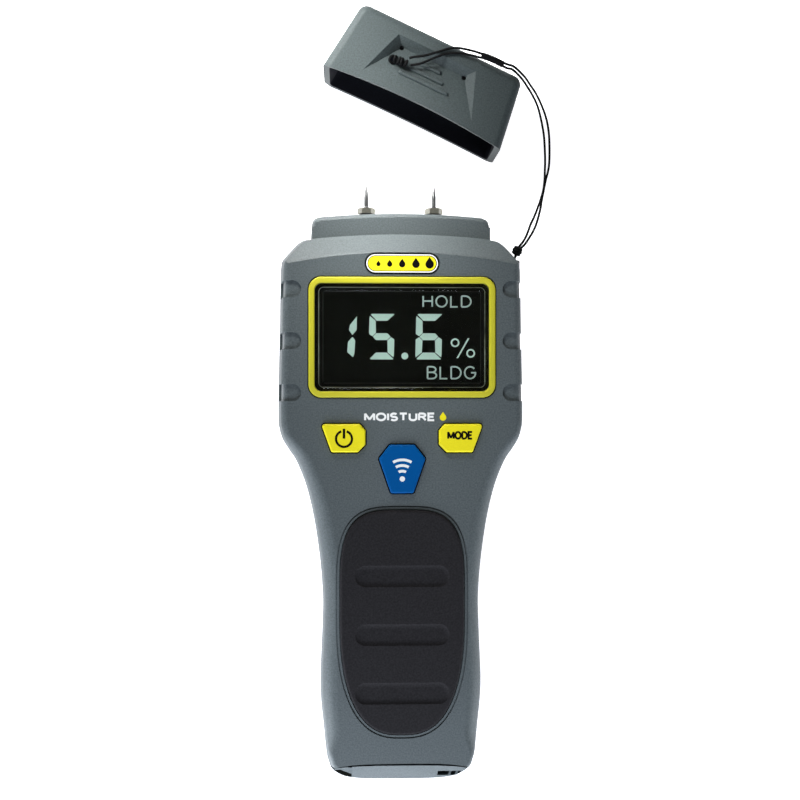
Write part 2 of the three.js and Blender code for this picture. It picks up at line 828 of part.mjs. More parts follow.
const padFloor = front - padRecess + gap / 2;
let gripPad = softened(pad, [
  [padFloor, 0],
  [front + padProud - 0.7, 0],
  [front + padProud, -0.9],
]);
for (let i = 0; i < scoopCount; i++) {
  const y = padTop + (padBottom - padTop) * (scoopFirst + scoopPitch * i);
  const z = front + padProud - scoopDepth + scoopRadius;
  gripPad = gripPad.subtract(
    rod(scoopRadius, [-scoopWidth / 2, y, z], [scoopWidth / 2, y, z], 32),
  );
}
add("grip_pad", gripPad, blackRubber);

// ---- Battery bay ------------------------------------------------------------------------------

const can = roundedBox(batteryWidth, batteryLength, 0.8, 0, (batteryBottom + batteryTop) / 2, 1);
const batteryMiddle = batteryFloor + batteryDepth / 2;
add("battery_9v", prism(can, batteryFloor, batteryFloor + batteryDepth), batteryCan);
const terminalX = 6.4;
const terminals = [
  ["positive", -terminalX, 2.9],
  ["negative", terminalX, 3.9],
];
terminals.forEach(([pole, x, radius]) => {
  const from = [x, batteryTop + gap, batteryMiddle];
  const to = [x, batteryTop + terminalHeight, batteryMiddle];
  add(`battery_terminal_${pole}`, rod(radius, from, to, pole === "negative" ? 6 : 16), steel);
});
const snapHalf = batteryWidth / 2 - 0.6;
const snap = block(
  -snapHalf,
  snapHalf,
  snapTop - snapThickness,
  snapTop,
  batteryMiddle - 6,
  batteryMiddle + 6,
);
add("battery_snap", snap, blackPlastic);
const leadEnds = [
  ["red", -terminalX, redLead],
  ["black", terminalX, blackPlastic],
];
leadEnds.forEach(([colour, x, material]) => {
  const route = [
    [x, snapTop + gap, batteryMiddle],
    [x, snapTop + 2, batteryMiddle],
    [x * 0.8, snapTop + 6, batteryMiddle + 3],
    [x * 0.7, snapTop + 8, boardBottom - 4],
    [x * 0.7, snapTop + 8.4, boardBottom - gap],
  ];
  add(`battery_lead_${colour}`, tube(route, leadRadius, 12, 6), material);
});

function batteryDoor() {
  const endRegion = block(-doorHalf, doorHalf, bottom - past, caseEnd - gap, -past, front);
  const doorTop = front - doorBelow;
  const inward = 12;
  const fall = loftX(
    points(
      [bottom - past, doorTop - doorFall - (doorFall * past) / doorEnd],
      [caseEnd + inward, doorTop + (doorFall * inward) / doorEnd],
      [caseEnd + inward, doorTop + 3 * inward],
      [bottom - past, doorTop + 3 * inward],
    ),
    bodyWidth,
  );
  const endWall = bulk.intersect(endRegion).subtract(fall);
  const notch = block(
    -doorHalf - past,
    doorNotch - doorHalf,
    caseEnd - 2.2,
    caseEnd + past,
    parting,
    front,
  );
  const plate = block(-plateHalf, plateHalf, caseEnd - 1.5, snapTop, 0, doorPlate);
  return endWall.subtract(notch).add(plate);
}
add("battery_door", batteryDoor(), casePlastic);

// ---- Cap --------------------------------------------------------------------------------------

const capGroup = new THREE.Group();
capGroup.position.set(...capPlace, 0);
capGroup.rotation.z = THREE.MathUtils.degToRad(capAngle);
model.add(capGroup);

// The cap's plan: straight back, sides that flare to the mouth, and a hollow arc across the mouth.
function capOutline() {
  const back = capBackWidth / 2;
  const mouth = capMouthWidth / 2;
  const mouthY = capBack - capDepth;
  const corner = 2.6;
  const arc = [];
  const steps = 12;
  for (let i = 0; i <= steps; i++) {
    const t = -1 + (2 * i) / steps;
    arc.push(new THREE.Vector2(mouth * t, mouthY + capMouthDip * (1 - t * t)));
  }
  const backRight = points([back, capBack - corner], [back - 0.8, capBack - 0.8], [back - corner, capBack]);
  return [...arc, ...backRight, ...mirrored(backRight)];
}

const capWalls = [
  [0, -2.2],
  [0.7, -0.8],
  [2.6, 0],
  [capHeight - 2.6, 0],
  [capHeight - 0.7, -0.8],
  [capHeight, -2.2],
];

// The recess in the cap's face: a floor that rises from the back to two points near the mouth.
function capRecessHull(skin) {
  const high = capHeight + past;
  const floor = capHeight - capRecess - skin;
  const rims = [
    [recessBack[0] + skin, recessBack[1] + skin, high],
    [recessMouth[0] + skin, recessMouth[1] - skin, high],
    [recessBack[0] + skin, recessBack[1] + skin, capHeight - skin],
    [recessMouth[0] + skin, recessMouth[1] - skin, capHeight - skin],
    [recessLow[0] + skin, recessLow[1] + skin, floor],
  ];
  const corners = rims.flatMap(([x, y, z]) => [
    new THREE.Vector3(x, y, z),
    new THREE.Vector3(-x, y, z),
  ]);
  return solid(new ConvexGeometry(corners));
}

const recessSlope = capRecess / (recessLow[1] - recessMouth[1]);
const recessZ = (y) => capHeight - capRecess + (recessLow[1] - y) * recessSlope;

function capShell() {
  const plan = capOutline();
  const cavityPlan = grown(plan, -capWall).map(
    (p) => new THREE.Vector2(p.x, p.y < capBack - capDepth / 2 ? p.y - capWall - past : p.y),
  );
  const cavity = loft([
    [grown(cavityPlan, -0.9), capWall],
    [cavityPlan, capWall + 1],
    [cavityPlan, capHeight - capWall - 1],
    [grown(cavityPlan, -0.9), capHeight - capWall],
  ]).subtract(capRecessHull(capWall));
  let shell = softened(plan, capWalls).subtract(capRecessHull(0)).subtract(cavity);
  const ribs = [
    [-8, 3.8],
    [-10.9, 6.1],
    [-13.6, 8.9],
  ];
  ribs.forEach(([y, half]) => {
    const z = recessZ(y);
    shell = shell.add(block(-half, half, y - 0.5, y + 0.5, z - 0.5, z + 0.7));
  });
  const holes = [
    [-pinSpacing / 2, testHoleY, testHoleRadius],
    [pinSpacing / 2, testHoleY, testHoleRadius],
    [...eyeAt, eyeRadius],
  ];
  holes.forEach(([x, y, radius]) => {
    shell = shell.subtract(rod(radius, [x, y, capHeight / 2], [x, y, capHeight + past], 10));
  });
  return shell;
}
add("cap_shell", capShell(), capPlastic, capGroup);

const underRecess = capHeight - capRecess - capWall - gap;
pinPlaces.forEach(([side, x]) => {
  const contact = block(
    x - contactHalf,
    x + contactHalf,
    testHoleY - contactHalf,
    testHoleY + contactHalf,
    underRecess - contactThickness,
    underRecess,
  );
  add(`test_contact_${side}`, contact, brass, capGroup);
});
const testTop = underRecess - contactThickness - gap;
const testHalf = pinSpacing / 2 + 2.4;
add("test_board", block(-testHalf, testHalf, -8.2, -2.6, testTop - 1, testTop), boardGreen, capGroup);
const resistorZ = testTop - 1 - gap - 0.6;
add(
  "test_resistor",
  rod(0.6, [-1.8, -5.4, resistorZ], [1.8, -5.4, resistorZ], 8),
  blackPlastic,
  capGroup,
);

// ---- Cord -------------------------------------------------------------------------------------

const anchorTop = anchorY + anchorLength;
const anchorBore = rod(strandRadius + gap, [anchorX, anchorTop - 3, parting], [anchorX, top, parting], 8);
const anchor = rod(anchorRadius, [anchorX, anchorY, parting], [anchorX, anchorTop, parting], 16);
add("lanyard_anchor", anchor.subtract(anchorBore), blackPlastic);

const tailRoute = [
  [anchorX, anchorTop + 2 * gap, parting],
  [38.7, 79.9, parting],
];
add("cord_tail", tube(tailRoute, tailRadius, 2), blackCord);
const bead = new THREE.SphereGeometry(beadRadius, 12, 8).scale(0.95, 1, 0.95);
add("cord_bead", solid(bead.translate(39.1, 81.85, parting)), blackCord);

const strandOuter = [
  [41, 83.15, 18],
  [42, 84.2, 17.3],
  [43.2, 85.9, 16],
  [45.1, 88.7, 13.2],
  [46.8, 91.9, 9.6],
  [48.1, 95.2, 6.2],
  [49, 98.1, 4.2],
  [49.6, 101, 3],
  [50.4, 104.6, 2.2],
  [51.2, 108.2, 1.7],
  [51.9, 110.7, 1.4],
  [52.4, 113.2, 1],
  [52.6, 116.3, 0.7],
  [52.6, 120.2, 0.7],
  [52.4, 124.3, 0.8],
  [51.6, 128.3, 1.8],
  [50.2, 131.1, 4.6],
  [48.1, 133.6, 9.2],
  [45.7, 135.6, 14.6],
  [43.4, 137, 19.2],
  [41.4, 138.4, 22.8],
  [39.1, 139.6, 26.2],
  [36.7, 140.8, 28.6],
  [34.4, 141.3, 29.5],
];
const strandInner = [
  [40.3, 83.75, 18],
  [41.3, 85, 17.2],
  [42.9, 87.6, 14.4],
  [44.7, 91.5, 10.2],
  [46.7, 95.2, 6.4],
  [48.1, 98.3, 3.8],
  [49.3, 101.2, 2],
  [50.4, 104.8, 1.1],
  [50.9, 108.3, 0.6],
  [51, 111.1, 0.6],
  [51.1, 114.6, 0.6],
  [51, 118.8, 0.6],
  [50.6, 124.3, 0.6],
  [49.1, 129.7, 3.2],
  [47.3, 132.9, 7.6],
  [44.9, 135.1, 13],
  [42.5, 136.7, 18.2],
  [40.6, 137.9, 22],
  [38.5, 138.9, 25.6],
  [36.2, 139.9, 28.4],
  [34, 140.2, 29.4],
];
add("cord_strand_outer", tube(strandOuter, strandRadius, 46), blackCord);
add("cord_strand_inner", tube(strandInner, strandRadius, 46), blackCord);
add(
  "cord_sleeve",
  tube([[33.4, 141, 29.7], [29.9, 142.7, 29.7], [26.1, 144.1, 29.55]], sleeveRadius, 6),
  blackCord,
);
const upperOuter = [
  [25.7, 144.8, 29.4],
  [22.1, 145.9, 29.1],
  [18.2, 146.6, 28.9],
  [15.2, 146.3, 28.8],
  [12.6, 145.5, 28.7],
  [8, 144.2, 28.4],
  [4.1, 143.6, 28.3],
  [3, 143.4, 28.2],
];
const upperInner = [
  [25.3, 143.5, 29.4],
  [22.8, 144.2, 29.1],
  [19.1, 144.9, 28.9],
  [15.2, 144.8, 28.8],
  [12.2, 143.9, 28.7],
  [8.7, 142.5, 28.4],
  [5.9, 141.4, 28.3],
  [3.6, 141, 28.2],
];
add("cord_upper_outer", tube(upperOuter, strandRadius, 14), blackCord);
add("cord_upper_inner", tube(upperInner, strandRadius, 14), blackCord);
const knot = new THREE.SphereGeometry(knotRadius, 14, 8).scale(2.2, 1.5, 0.9).rotateZ(-0.4);
add("cord_knot", solid(knot.translate(-0.4, 142.3, 28.2)), blackCord);

export default model;
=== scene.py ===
import json
import math

import bmesh
import bpy
from mathutils import Matrix, Vector


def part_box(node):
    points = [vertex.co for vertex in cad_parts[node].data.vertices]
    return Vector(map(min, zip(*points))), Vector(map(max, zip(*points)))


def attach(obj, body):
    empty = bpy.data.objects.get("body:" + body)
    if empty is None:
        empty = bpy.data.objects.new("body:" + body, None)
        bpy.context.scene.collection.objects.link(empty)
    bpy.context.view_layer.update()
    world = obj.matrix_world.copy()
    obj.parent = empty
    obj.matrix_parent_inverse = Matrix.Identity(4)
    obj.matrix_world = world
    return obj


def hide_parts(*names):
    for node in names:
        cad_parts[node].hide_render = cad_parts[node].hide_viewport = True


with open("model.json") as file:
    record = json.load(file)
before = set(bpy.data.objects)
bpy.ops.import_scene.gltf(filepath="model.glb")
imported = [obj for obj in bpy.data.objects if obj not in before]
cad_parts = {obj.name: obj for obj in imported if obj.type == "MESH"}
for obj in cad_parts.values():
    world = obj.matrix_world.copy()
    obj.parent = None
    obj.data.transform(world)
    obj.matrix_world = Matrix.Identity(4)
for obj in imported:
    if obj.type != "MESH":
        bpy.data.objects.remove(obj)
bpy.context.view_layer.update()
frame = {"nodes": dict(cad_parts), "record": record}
mm = 0.001

# Camera, light and floor

camera = {
    "from": (-17.5, 31.9, 473),
    "to": (0, 31.9, 18),
    "lens": 61.5,
}
sky = 0.18
floorGlow = 1.0
lights = {
    "near": {"from": (-80, 222, 70), "to": (5, 110, 25), "size": 70, "watts": 0.15,
             "colour": (1.0, 0.99, 0.97)},
    "low": {"from": (-60, -300, 220), "to": (0, -70, 20), "size": 220, "watts": 1.4,
            "colour": (0.83, 0.89, 1.0)},
    "rimLeft": {"from": (-260, -200, 50), "to": (0, -60, 20), "size": 120, "watts": 0.8,
                "colour": (0.88, 0.93, 1.0)},
    "rimRight": {"from": (260, -200, 50), "to": (0, -60, 20), "size": 120, "watts": 0.52,
                 "colour": (0.88, 0.93, 1.0)},
    "rimTop": {"from": (-60, 430, 90), "to": (0, 90, 20), "size": 140, "watts": 0.2,
               "colour": (1, 1, 1)},
    "head": {"from": (-45, 240, 125), "to": (-9, 88, 33), "size": 50, "cone": 25, "watts": 4.0,
             "colour": (1.0, 0.995, 0.97)},
    "cap": {"from": (-100, 205, 130), "to": (-24, 153, 28), "size": 50, "cone": 36, "watts": 3.4,
            "colour": (1.0, 0.995, 0.97)},
}
floorColour = (246, 246, 248)


# A matrix at place that looks at target with +Y upwards.
def aimed(place, target):
    eye, goal = Vector(place) * mm, Vector(target) * mm
    ahead = (goal - eye).normalized()
    right = ahead.cross(Vector((0, 1, 0))).normalized()
    up = right.cross(ahead)
    turn = Matrix((right, up, -ahead)).transposed().to_4x4()
    return Matrix.Translation(eye) @ turn


lens = bpy.data.cameras.new("camera")
lens.lens = camera["lens"]
lens.clip_start = 0.01
cameraObject = bpy.data.objects.new("camera", lens)
cameraObject.matrix_world = aimed(camera["from"], camera["to"])
bpy.context.scene.collection.objects.link(cameraObject)
bpy.context.scene.camera = cameraObject

world = bpy.data.worlds.new("studio")
world.use_nodes = True
world.node_tree.nodes["Background"].inputs["Color"].default_value = (1, 1, 1, 1)
world.node_tree.nodes["Background"].inputs["Strength"].default_value = sky
bpy.context.scene.world = world
bpy.context.scene.view_settings.view_transform = "Standard"

for name, spec in lights.items():
    if "cone" in spec:
        lamp = bpy.data.lights.new(name, "SPOT")
        lamp.shadow_soft_size = spec["size"] / 2 * mm
        lamp.spot_size = math.radians(spec["cone"])
        lamp.spot_blend = 1.0
    else:
        lamp = bpy.data.lights.new(name, "AREA")
        lamp.size = spec["size"] * mm
    lamp.energy = spec["watts"]
    lamp.color = spec["colour"]
    lampObject = bpy.data.objects.new(name, lamp)
    lampObject.matrix_world = aimed(spec["from"], spec["to"])
    bpy.context.scene.collection.objects.link(lampObject)
print("camera and light made")

# Materials


# sRGB from 0 to 255 as linear red, green, blue and alpha.
def linear(colour):
    def one(c):
        c = c / 255
        return c / 12.92 if c <= 0.04045 else ((c + 0.055) / 1.055) ** 2.4
    return [one(c) for c in colour] + [1.0]


def noiseAt(tree, coords, scale, detail=2.0):
    noise = tree.nodes.new("ShaderNodeTexNoise")
    noise.inputs["Scale"].default_value = scale
    noise.inputs["Detail"].default_value = detail
    tree.links.new(coords.outputs["Object"], noise.inputs["Vector"])
    return noise.outputs["Fac"]


# A Principled material: fine speckled colour, uneven gloss and a fine moulded grain.
def finish(name, colour, roughness, speckle=0.12, grain=0.0, grainScale=2600, metal=0.0, specular=0.5,
           wear=0.06):
    material = bpy.data.materials.new(name)
    material.use_nodes = True
    tree = material.node_tree
    shader = tree.nodes["Principled BSDF"]
    shader.inputs["Metallic"].default_value = metal
    shader.inputs["Specular IOR Level"].default_value = specular
    coords = tree.nodes.new("ShaderNodeTexCoord")
    fine = noiseAt(tree, coords, grainScale)
    broad = noiseAt(tree, coords, 60, 3.0)
    tint = tree.nodes.new("ShaderNodeMix")
    tint.data_type = "RGBA"
    base = linear(colour)
    tint.inputs["A"].default_value = [c * (1 - speckle) for c in base[:3]] + [1]
    tint.inputs["B"].default_value = [min(1, c * (1 + speckle)) for c in base[:3]] + [1]
    spread = tree.nodes.new("ShaderNodeMapRange")
    spread.inputs["From Min"].default_value = 0.3
    spread.inputs["From Max"].default_value = 0.7
    tree.links.new(fine, spread.inputs["Value"])
    tree.links.new(spread.outputs["Result"], tint.inputs["Factor"])
    tree.links.new(tint.outputs["Result"], shader.inputs["Base Color"])
    gloss = tree.nodes.new("ShaderNodeMapRange")
    gloss.inputs["To Min"].default_value = roughness - wear
    gloss.inputs["To Max"].default_value = roughness + wear
    tree.links.new(broad, gloss.inputs["Value"])
    tree.links.new(gloss.outputs["Result"], shader.inputs["Roughness"])
    if grain:
        bump = tree.nodes.new("ShaderNodeBump")
        bump.inputs["Strength"].default_value = grain
        bump.inputs["Distance"].default_value = 0.0001
        tree.links.new(fine, bump.inputs["Height"])
        tree.links.new(bump.outputs["Normal"], shader.inputs["Normal"])
    return material


def glass(name, colour, ior, roughness):
    material = finish(name, colour, roughness, speckle=0.0, wear=0.01)
    shader = material.node_tree.nodes["Principled BSDF"]
    shader.inputs["Transmission Weight"].default_value = 1.0
    shader.inputs["IOR"].default_value = ior
    return material


# A finish that gives a little light of its own, for the display's lit segments.
def lit(name, colour, glow):
    material = finish(name, colour, 0.5, speckle=0.03)
    shader = material.node_tree.nodes["Principled BSDF"]
    shader.inputs["Emission Color"].default_value = linear(colour)
    shader.inputs["Emission Strength"].default_value = glow
    return material


casePlastic = finish("casePlastic", (84, 92, 94), 0.55, speckle=0.2, grain=0.55, grainScale=2000,
                     specular=0.35)
capPlastic = finish("capPlastic", (55, 63, 64), 0.62, speckle=0.2, grain=0.55, grainScale=2000,
                    specular=0.25)
# Near-black for painted shade inside the cap.
paintedCapShade = finish("paintedCapShade", (30, 31, 38), 0.8, specular=0.1)
yellowPlastic = finish("yellowPlastic", (240, 227, 34), 0.42, speckle=0.03, grain=0.05, specular=0.2)
ringYellow = finish("ringYellow", (196, 190, 50), 0.45, speckle=0.03, grain=0.05, specular=0.2)
bluePlastic = finish("bluePlastic", (0, 80, 146), 0.5, speckle=0.04, grain=0.05, specular=0.06)
blackRubber = finish("blackRubber", (39, 38, 40), 0.78, speckle=0.22, grain=0.5, grainScale=1800,
                     specular=0.1)
blackPlastic = finish("blackPlastic", (22, 23, 25), 0.5, speckle=0.1, grain=0.1)
whitePlastic = finish("whitePlastic", (228, 230, 228), 0.5, speckle=0.02)
whiteInk = finish("whiteInk", (240, 241, 240), 0.5, speckle=0.01)
blackInk = finish("blackInk", (10, 10, 10), 0.6, speckle=0.05, specular=0.05)
# Black for painted shade in the gaps round the display ring and the keys and on the corners at the case's
# lower end, and for the printed mask under the display pane.
paintedShadeAndMaskBlack = finish("paintedShadeAndMaskBlack", (15, 16, 12), 0.7, speckle=0.05, specular=0.05)
displayBlack = finish("displayBlack", (20, 21, 16), 0.35, speckle=0.04, specular=0.0)
segmentLit = lit("segmentLit", (186, 212, 201), 0.42)
legendLit = lit("legendLit", (170, 190, 184), 0.36)
clearPane = glass("clearPane", (236, 240, 238), 1.18, 0.03)
# Pale and dim grey for painted highlights on the display pane's bevel, uneven along their length.
paintedPaneHighlight = finish("paintedPaneHighlight", (150, 156, 142), 0.4, speckle=0.6, grainScale=160)
paintedPaneFaintHighlight = finish("paintedPaneFaintHighlight", (70, 74, 68), 0.4, speckle=0.6, grainScale=160)
steelFinish = finish("steelFinish", (160, 161, 162), 0.28, speckle=0.06, metal=1.0)
nutFinish = finish("nutFinish", (146, 145, 134), 0.3, speckle=0.12, metal=0.85)
brassFinish = finish("brassFinish", (181, 150, 92), 0.32, speckle=0.06, metal=1.0)
boardGreen = finish("boardGreen", (24, 84, 48), 0.45, speckle=0.2, grainScale=900)
batteryCan = finish("batteryCan", (52, 56, 60), 0.35, speckle=0.05, metal=0.6)
redLead = finish("redLead", (163, 38, 30), 0.45, speckle=0.04)
cordBlack = finish("cordBlack", (7, 8, 9), 0.75, speckle=0.3, grain=0.5, grainScale=4200, specular=0.1)
labelSilver = finish("labelSilver", (172, 176, 176), 0.42, speckle=0.03)

slotLooks = {
    "case_plastic": casePlastic,
    "cap_plastic": capPlastic,
    "yellow_plastic": yellowPlastic,
    "blue_plastic": bluePlastic,
    "black_rubber": blackRubber,
    "black_plastic": blackPlastic,
    "white_plastic": whitePlastic,
    "clear_window": clearPane,
    "display_glass": displayBlack,
    "board_green": boardGreen,
    "steel": steelFinish,
    "brass": brassFinish,
    "battery_can": batteryCan,
    "red_lead": redLead,
    "black_cord": cordBlack,
    "label_silver": labelSilver,
}
for part in frame["record"]["subparts"]:
    mesh = frame["nodes"][part["node"]].data
    mesh.materials.clear()
    mesh.materials.append(slotLooks[part["material_slot"]])
for name in ("test_contact_left", "test_contact_right"):
    frame["nodes"][name].data.materials[0] = blackPlastic
print("materials made")

# Lines and outlines, as lists of (x, y) in millimetres


# A smooth open line through points of any number of dimensions.
def throughPoints(spots, steps):
    spots = [Vector(p) for p in spots]
    padded = [2 * spots[0] - spots[1], *spots, 2 * spots[-1] - spots[-2]]
    line = []
    for i in range(1, len(padded) - 2):
        a, b, c, d = padded[i - 1:i + 3]
        for s in range(steps):
            t = s / steps
            line.append(0.5 * (2 * b + (c - a) * t + (2 * a - 5 * b + 4 * c - d) * t * t
                               + (3 * b - a - 3 * c + d) * t ** 3))
    line.append(spots[-1])
    return line


def mirrorOf(line):
    return [Vector((-p[0], p[1])) for p in reversed(line)]


# A closed outline with its corners rounded. radii is one number or one for each corner.
def rounded(corners, radii, steps=5):
    corners = [Vector(p) for p in corners]
    radii = [radii] * len(corners) if isinstance(radii, (int, float)) else radii
    outline = []
    for i, corner in enumerate(corners):
        back = (corners[i - 1] - corner).normalized()
        ahead = (corners[(i + 1) % len(corners)] - corner).normalized()
        half = math.acos(max(-1, min(1, back.dot(ahead)))) / 2
        reach = radii[i] / math.tan(half)
        middle = corner + (back + ahead).normalized() * radii[i] / math.sin(half)
        start, end = corner + back * reach, corner + ahead * reach
        for s in range(steps + 1):
            spot = (start.lerp(end, s / steps) - middle).normalized() * radii[i] + middle
            outline.append(spot)
    return outline


def boxOutline(width, height, corner, x=0, y=0, steps=6):
    w, h = width / 2, height / 2
    return rounded([(x + w, y - h), (x + w, y + h), (x - w, y + h), (x - w, y - h)], corner, steps)


def circle(radius, sides, x=0, y=0):
    angles = [2 * math.pi * i / sides for i in range(sides)]
    return [Vector((x + radius * math.cos(a), y + radius * math.sin(a))) for a in angles]


# An anticlockwise outline moved outwards. distance is one number or one for each point.
def moved(outline, distance):
    count = len(outline)
    distances = [distance] * count if isinstance(distance, (int, float)) else distance
    result = []
    for i, p in enumerate(outline):
        one = (p - outline[i - 1]).normalized()
        two = (outline[(i + 1) % count] - p).normalized()
        normal = Vector((one.y + two.y, -one.x - two.x)).normalized()
        stretch = max(0.55, normal.x * one.y - normal.y * one.x)
        result.append(p + normal * distances[i] / stretch)
    return result


# Solids, in millimetres, as mesh objects


def newObject(name, spots, faces, place=None):
    mesh = bpy.data.meshes.new(name)
    mesh.from_pydata([[c * mm for c in p] for p in spots], [], faces)
    piece = bpy.data.objects.new(name, mesh)
    bpy.context.scene.collection.objects.link(piece)
    if place is not None:
        mesh.transform(place)
    return piece


# The walls between rings of points that lie one after the other, and both ends.
def ringFaces(rings, count):
    faces = [list(range(count))[::-1]]
    for s in range(rings - 1):
        for i in range(count):
            j = (i + 1) % count
            a, b = s * count, (s + 1) * count
            faces.append([a + i, a + j, b + j, b + i])
    faces.append([(rings - 1) * count + i for i in range(count)])
    return faces


# A solid through closed outlines with the same number of points: [(outline, z), ...].
def stacked(name, layers):
    spots = [(p[0], p[1], z) for outline, z in layers for p in outline]
    return newObject(name, spots, ringFaces(len(layers), len(layers[0][0])))


# A solid through outlines that stand across X: [(x, [(y, z), ...]), ...].
def sliced(name, layers):
    spots = [(x, y, z) for x, line in layers for y, z in line]
    return newObject(name, spots, ringFaces(len(layers), len(layers[0][1])))


# A solid on an outline with rounded lower and upper edges, by one number or one for each point.
def soft(name, outline, low, high, lowRound=0.0, highRound=0.0, steps=6, place=None, middle=None):
    count = len(outline)
    lower = [lowRound] * count if isinstance(lowRound, (int, float)) else lowRound
    upper = [highRound] * count if isinstance(highRound, (int, float)) else highRound
    layers = []
    if max(lower) > 0:
        for s in range(steps + 1):
            angle = math.pi / 2 * s / steps
            ring = moved(outline, [-r * (1 - math.sin(angle)) for r in lower])
            layers.append((ring, [low + r * (1 - math.cos(angle)) for r in lower]))
    else:
        layers.append((list(outline), [low] * count))
    if middle is not None:
        layers.append((list(outline), [middle] * count))
    if max(upper) > 0:
        for s in range(steps + 1):
            angle = math.pi / 2 * s / steps
            ring = moved(outline, [-r * (1 - math.cos(angle)) for r in upper])
            layers.append((ring, [high - r * (1 - math.sin(angle)) for r in upper]))
    else:
        layers.append((list(outline), [high] * count))
    spots = [(p.x, p.y, z) for ring, heights in layers for p, z in zip(ring, heights)]
    return newObject(name, spots, ringFaces(len(layers), count), place)


# A closed ring: a closed profile of (inset, z) pairs carried round a closed outline.
def swept(name, outline, profile):
    count, turns = len(outline), len(profile)
    spots = []
    for inset, z in profile:
        spots += [(p.x, p.y, z) for p in moved(outline, -inset)]
    faces = []
    for s in range(turns):
        a, b = s * count, ((s + 1) % turns) * count
        for i in range(count):
            j = (i + 1) % count
            faces.append([a + i, a + j, b + j, b + i])
    return newObject(name, spots, faces)


# A solid turned about Z from (radius, z) pairs that start and end on the axis.
def turned(name, profile, sides=32, place=None):
    inner = [p for p in profile if p[0] > 0]
    spots = [(0, 0, profile[0][1])]
    for radius, z in inner:
        spots += [(p.x, p.y, z) for p in circle(radius, sides)]
    spots.append((0, 0, profile[-1][1]))
    faces = []
    for i in range(sides):
        j = (i + 1) % sides
        faces.append([0, 1 + j, 1 + i])
        for s in range(len(inner) - 1):
            a, b = 1 + s * sides, 1 + (s + 1) * sides
            faces.append([a + i, a + j, b + j, b + i])
        last = 1 + (len(inner) - 1) * sides
        faces.append([last + i, last + j, len(spots) - 1])
    return newObject(name, spots, faces, place)


def boxed(name, x0, x1, y0, y1, z0, z1):
    outline = [Vector(p) for p in ((x0, y0), (x1, y0), (x1, y1), (x0, y1))]
    return stacked(name, [(outline, z0), (outline, z1)])


def hull(name, corners):
    mesh = bpy.data.meshes.new(name)
    body = bmesh.new()
    for p in corners:
        body.verts.new([c * mm for c in p])
    bmesh.ops.convex_hull(body, input=body.verts)
    body.to_mesh(mesh)
    body.free()
    piece = bpy.data.objects.new(name, mesh)
    bpy.context.scene.collection.objects.link(piece)
    return piece


def shift(x, y, z, angle=0.0, axis="Z"):
    return Matrix.Translation((x * mm, y * mm, z * mm)) @ Matrix.Rotation(math.radians(angle), 4, axis)


# Turns a solid made about Z so that its axis points along +Y, and puts it in place.
def alongY(x, y, z):
    return shift(x, y, z, -90, "X")


def removed(piece):
    mesh = piece.data
    bpy.data.objects.remove(piece)
    bpy.data.meshes.remove(mesh)


# Cuts, joins or intersects piece with each tool at once, and takes the tools away.
def combined(piece, tools, operation="DIFFERENCE"):
    for tool in tools:
        for solver in ("MANIFOLD", "EXACT"):
            change = piece.modifiers.new("change", "BOOLEAN")
            change.operation = operation
            change.solver = solver
            change.object = tool
            bpy.context.view_layer.update()
            shape = piece.evaluated_get(bpy.context.evaluated_depsgraph_get())
            mesh = bpy.data.meshes.new_from_object(shape)
            piece.modifiers.clear()
            if len(mesh.polygons) > 3:
                break
            bpy.data.meshes.remove(mesh)
            mesh = None
        if mesh is None:
            raise SystemExit(f"{piece.name}: {operation} with {tool.name} left nothing")
        old, piece.data = piece.data, mesh
        bpy.data.meshes.remove(old)
        removed(tool)
    return piece


# Adds the others' faces to piece as they are, without cutting.
def merged(piece, others):
    body = bmesh.new()
    body.from_mesh(piece.data)
    for other in others:
        body.from_mesh(other.data)
        removed(other)
    body.to_mesh(piece.data)
    body.free()
    return piece


# Gives piece its material, its shading and the body that it rides on.
def dressed(piece, material, body, nodes=(), angle=32):
    mesh = piece.data
    if piece.type == "MESH":
        mesh.polygons.foreach_set("use_smooth", [True] * len(mesh.polygons))
        mesh.set_sharp_from_angle(angle=math.radians(angle))
        even = piece.modifiers.new("even", "WEIGHTED_NORMAL")
        even.keep_sharp = True
    mesh.materials.clear()
    mesh.materials.append(material)
    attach(piece, body)
    if nodes:
        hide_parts(*nodes)
    return piece


# Gives a second material to the faces whose middle and normal pass the test, in millimetres.
def painted(piece, material, test):
    piece.data.materials.append(material)
    for face in piece.data.polygons:
        if test(face.center / mm, face.normal):
            face.material_index = len(piece.data.materials) - 1


# A flat plate whose outline may run either way round.
def flatShape(name, line, low, high):
    area = sum(a[0] * b[1] - b[0] * a[1] for a, b in zip(line, line[1:] + line[:1]))
    line = [Vector(p) for p in (line if area > 0 else line[::-1])]
    return stacked(name, [(line, low), (line, high)])


def arc(x, y, across, up, start, end, steps=10):
    turns = [math.radians(start + (end - start) * i / steps) for i in range(steps + 1)]
    return [(x + across * math.cos(a), y + up * math.sin(a)) for a in turns]


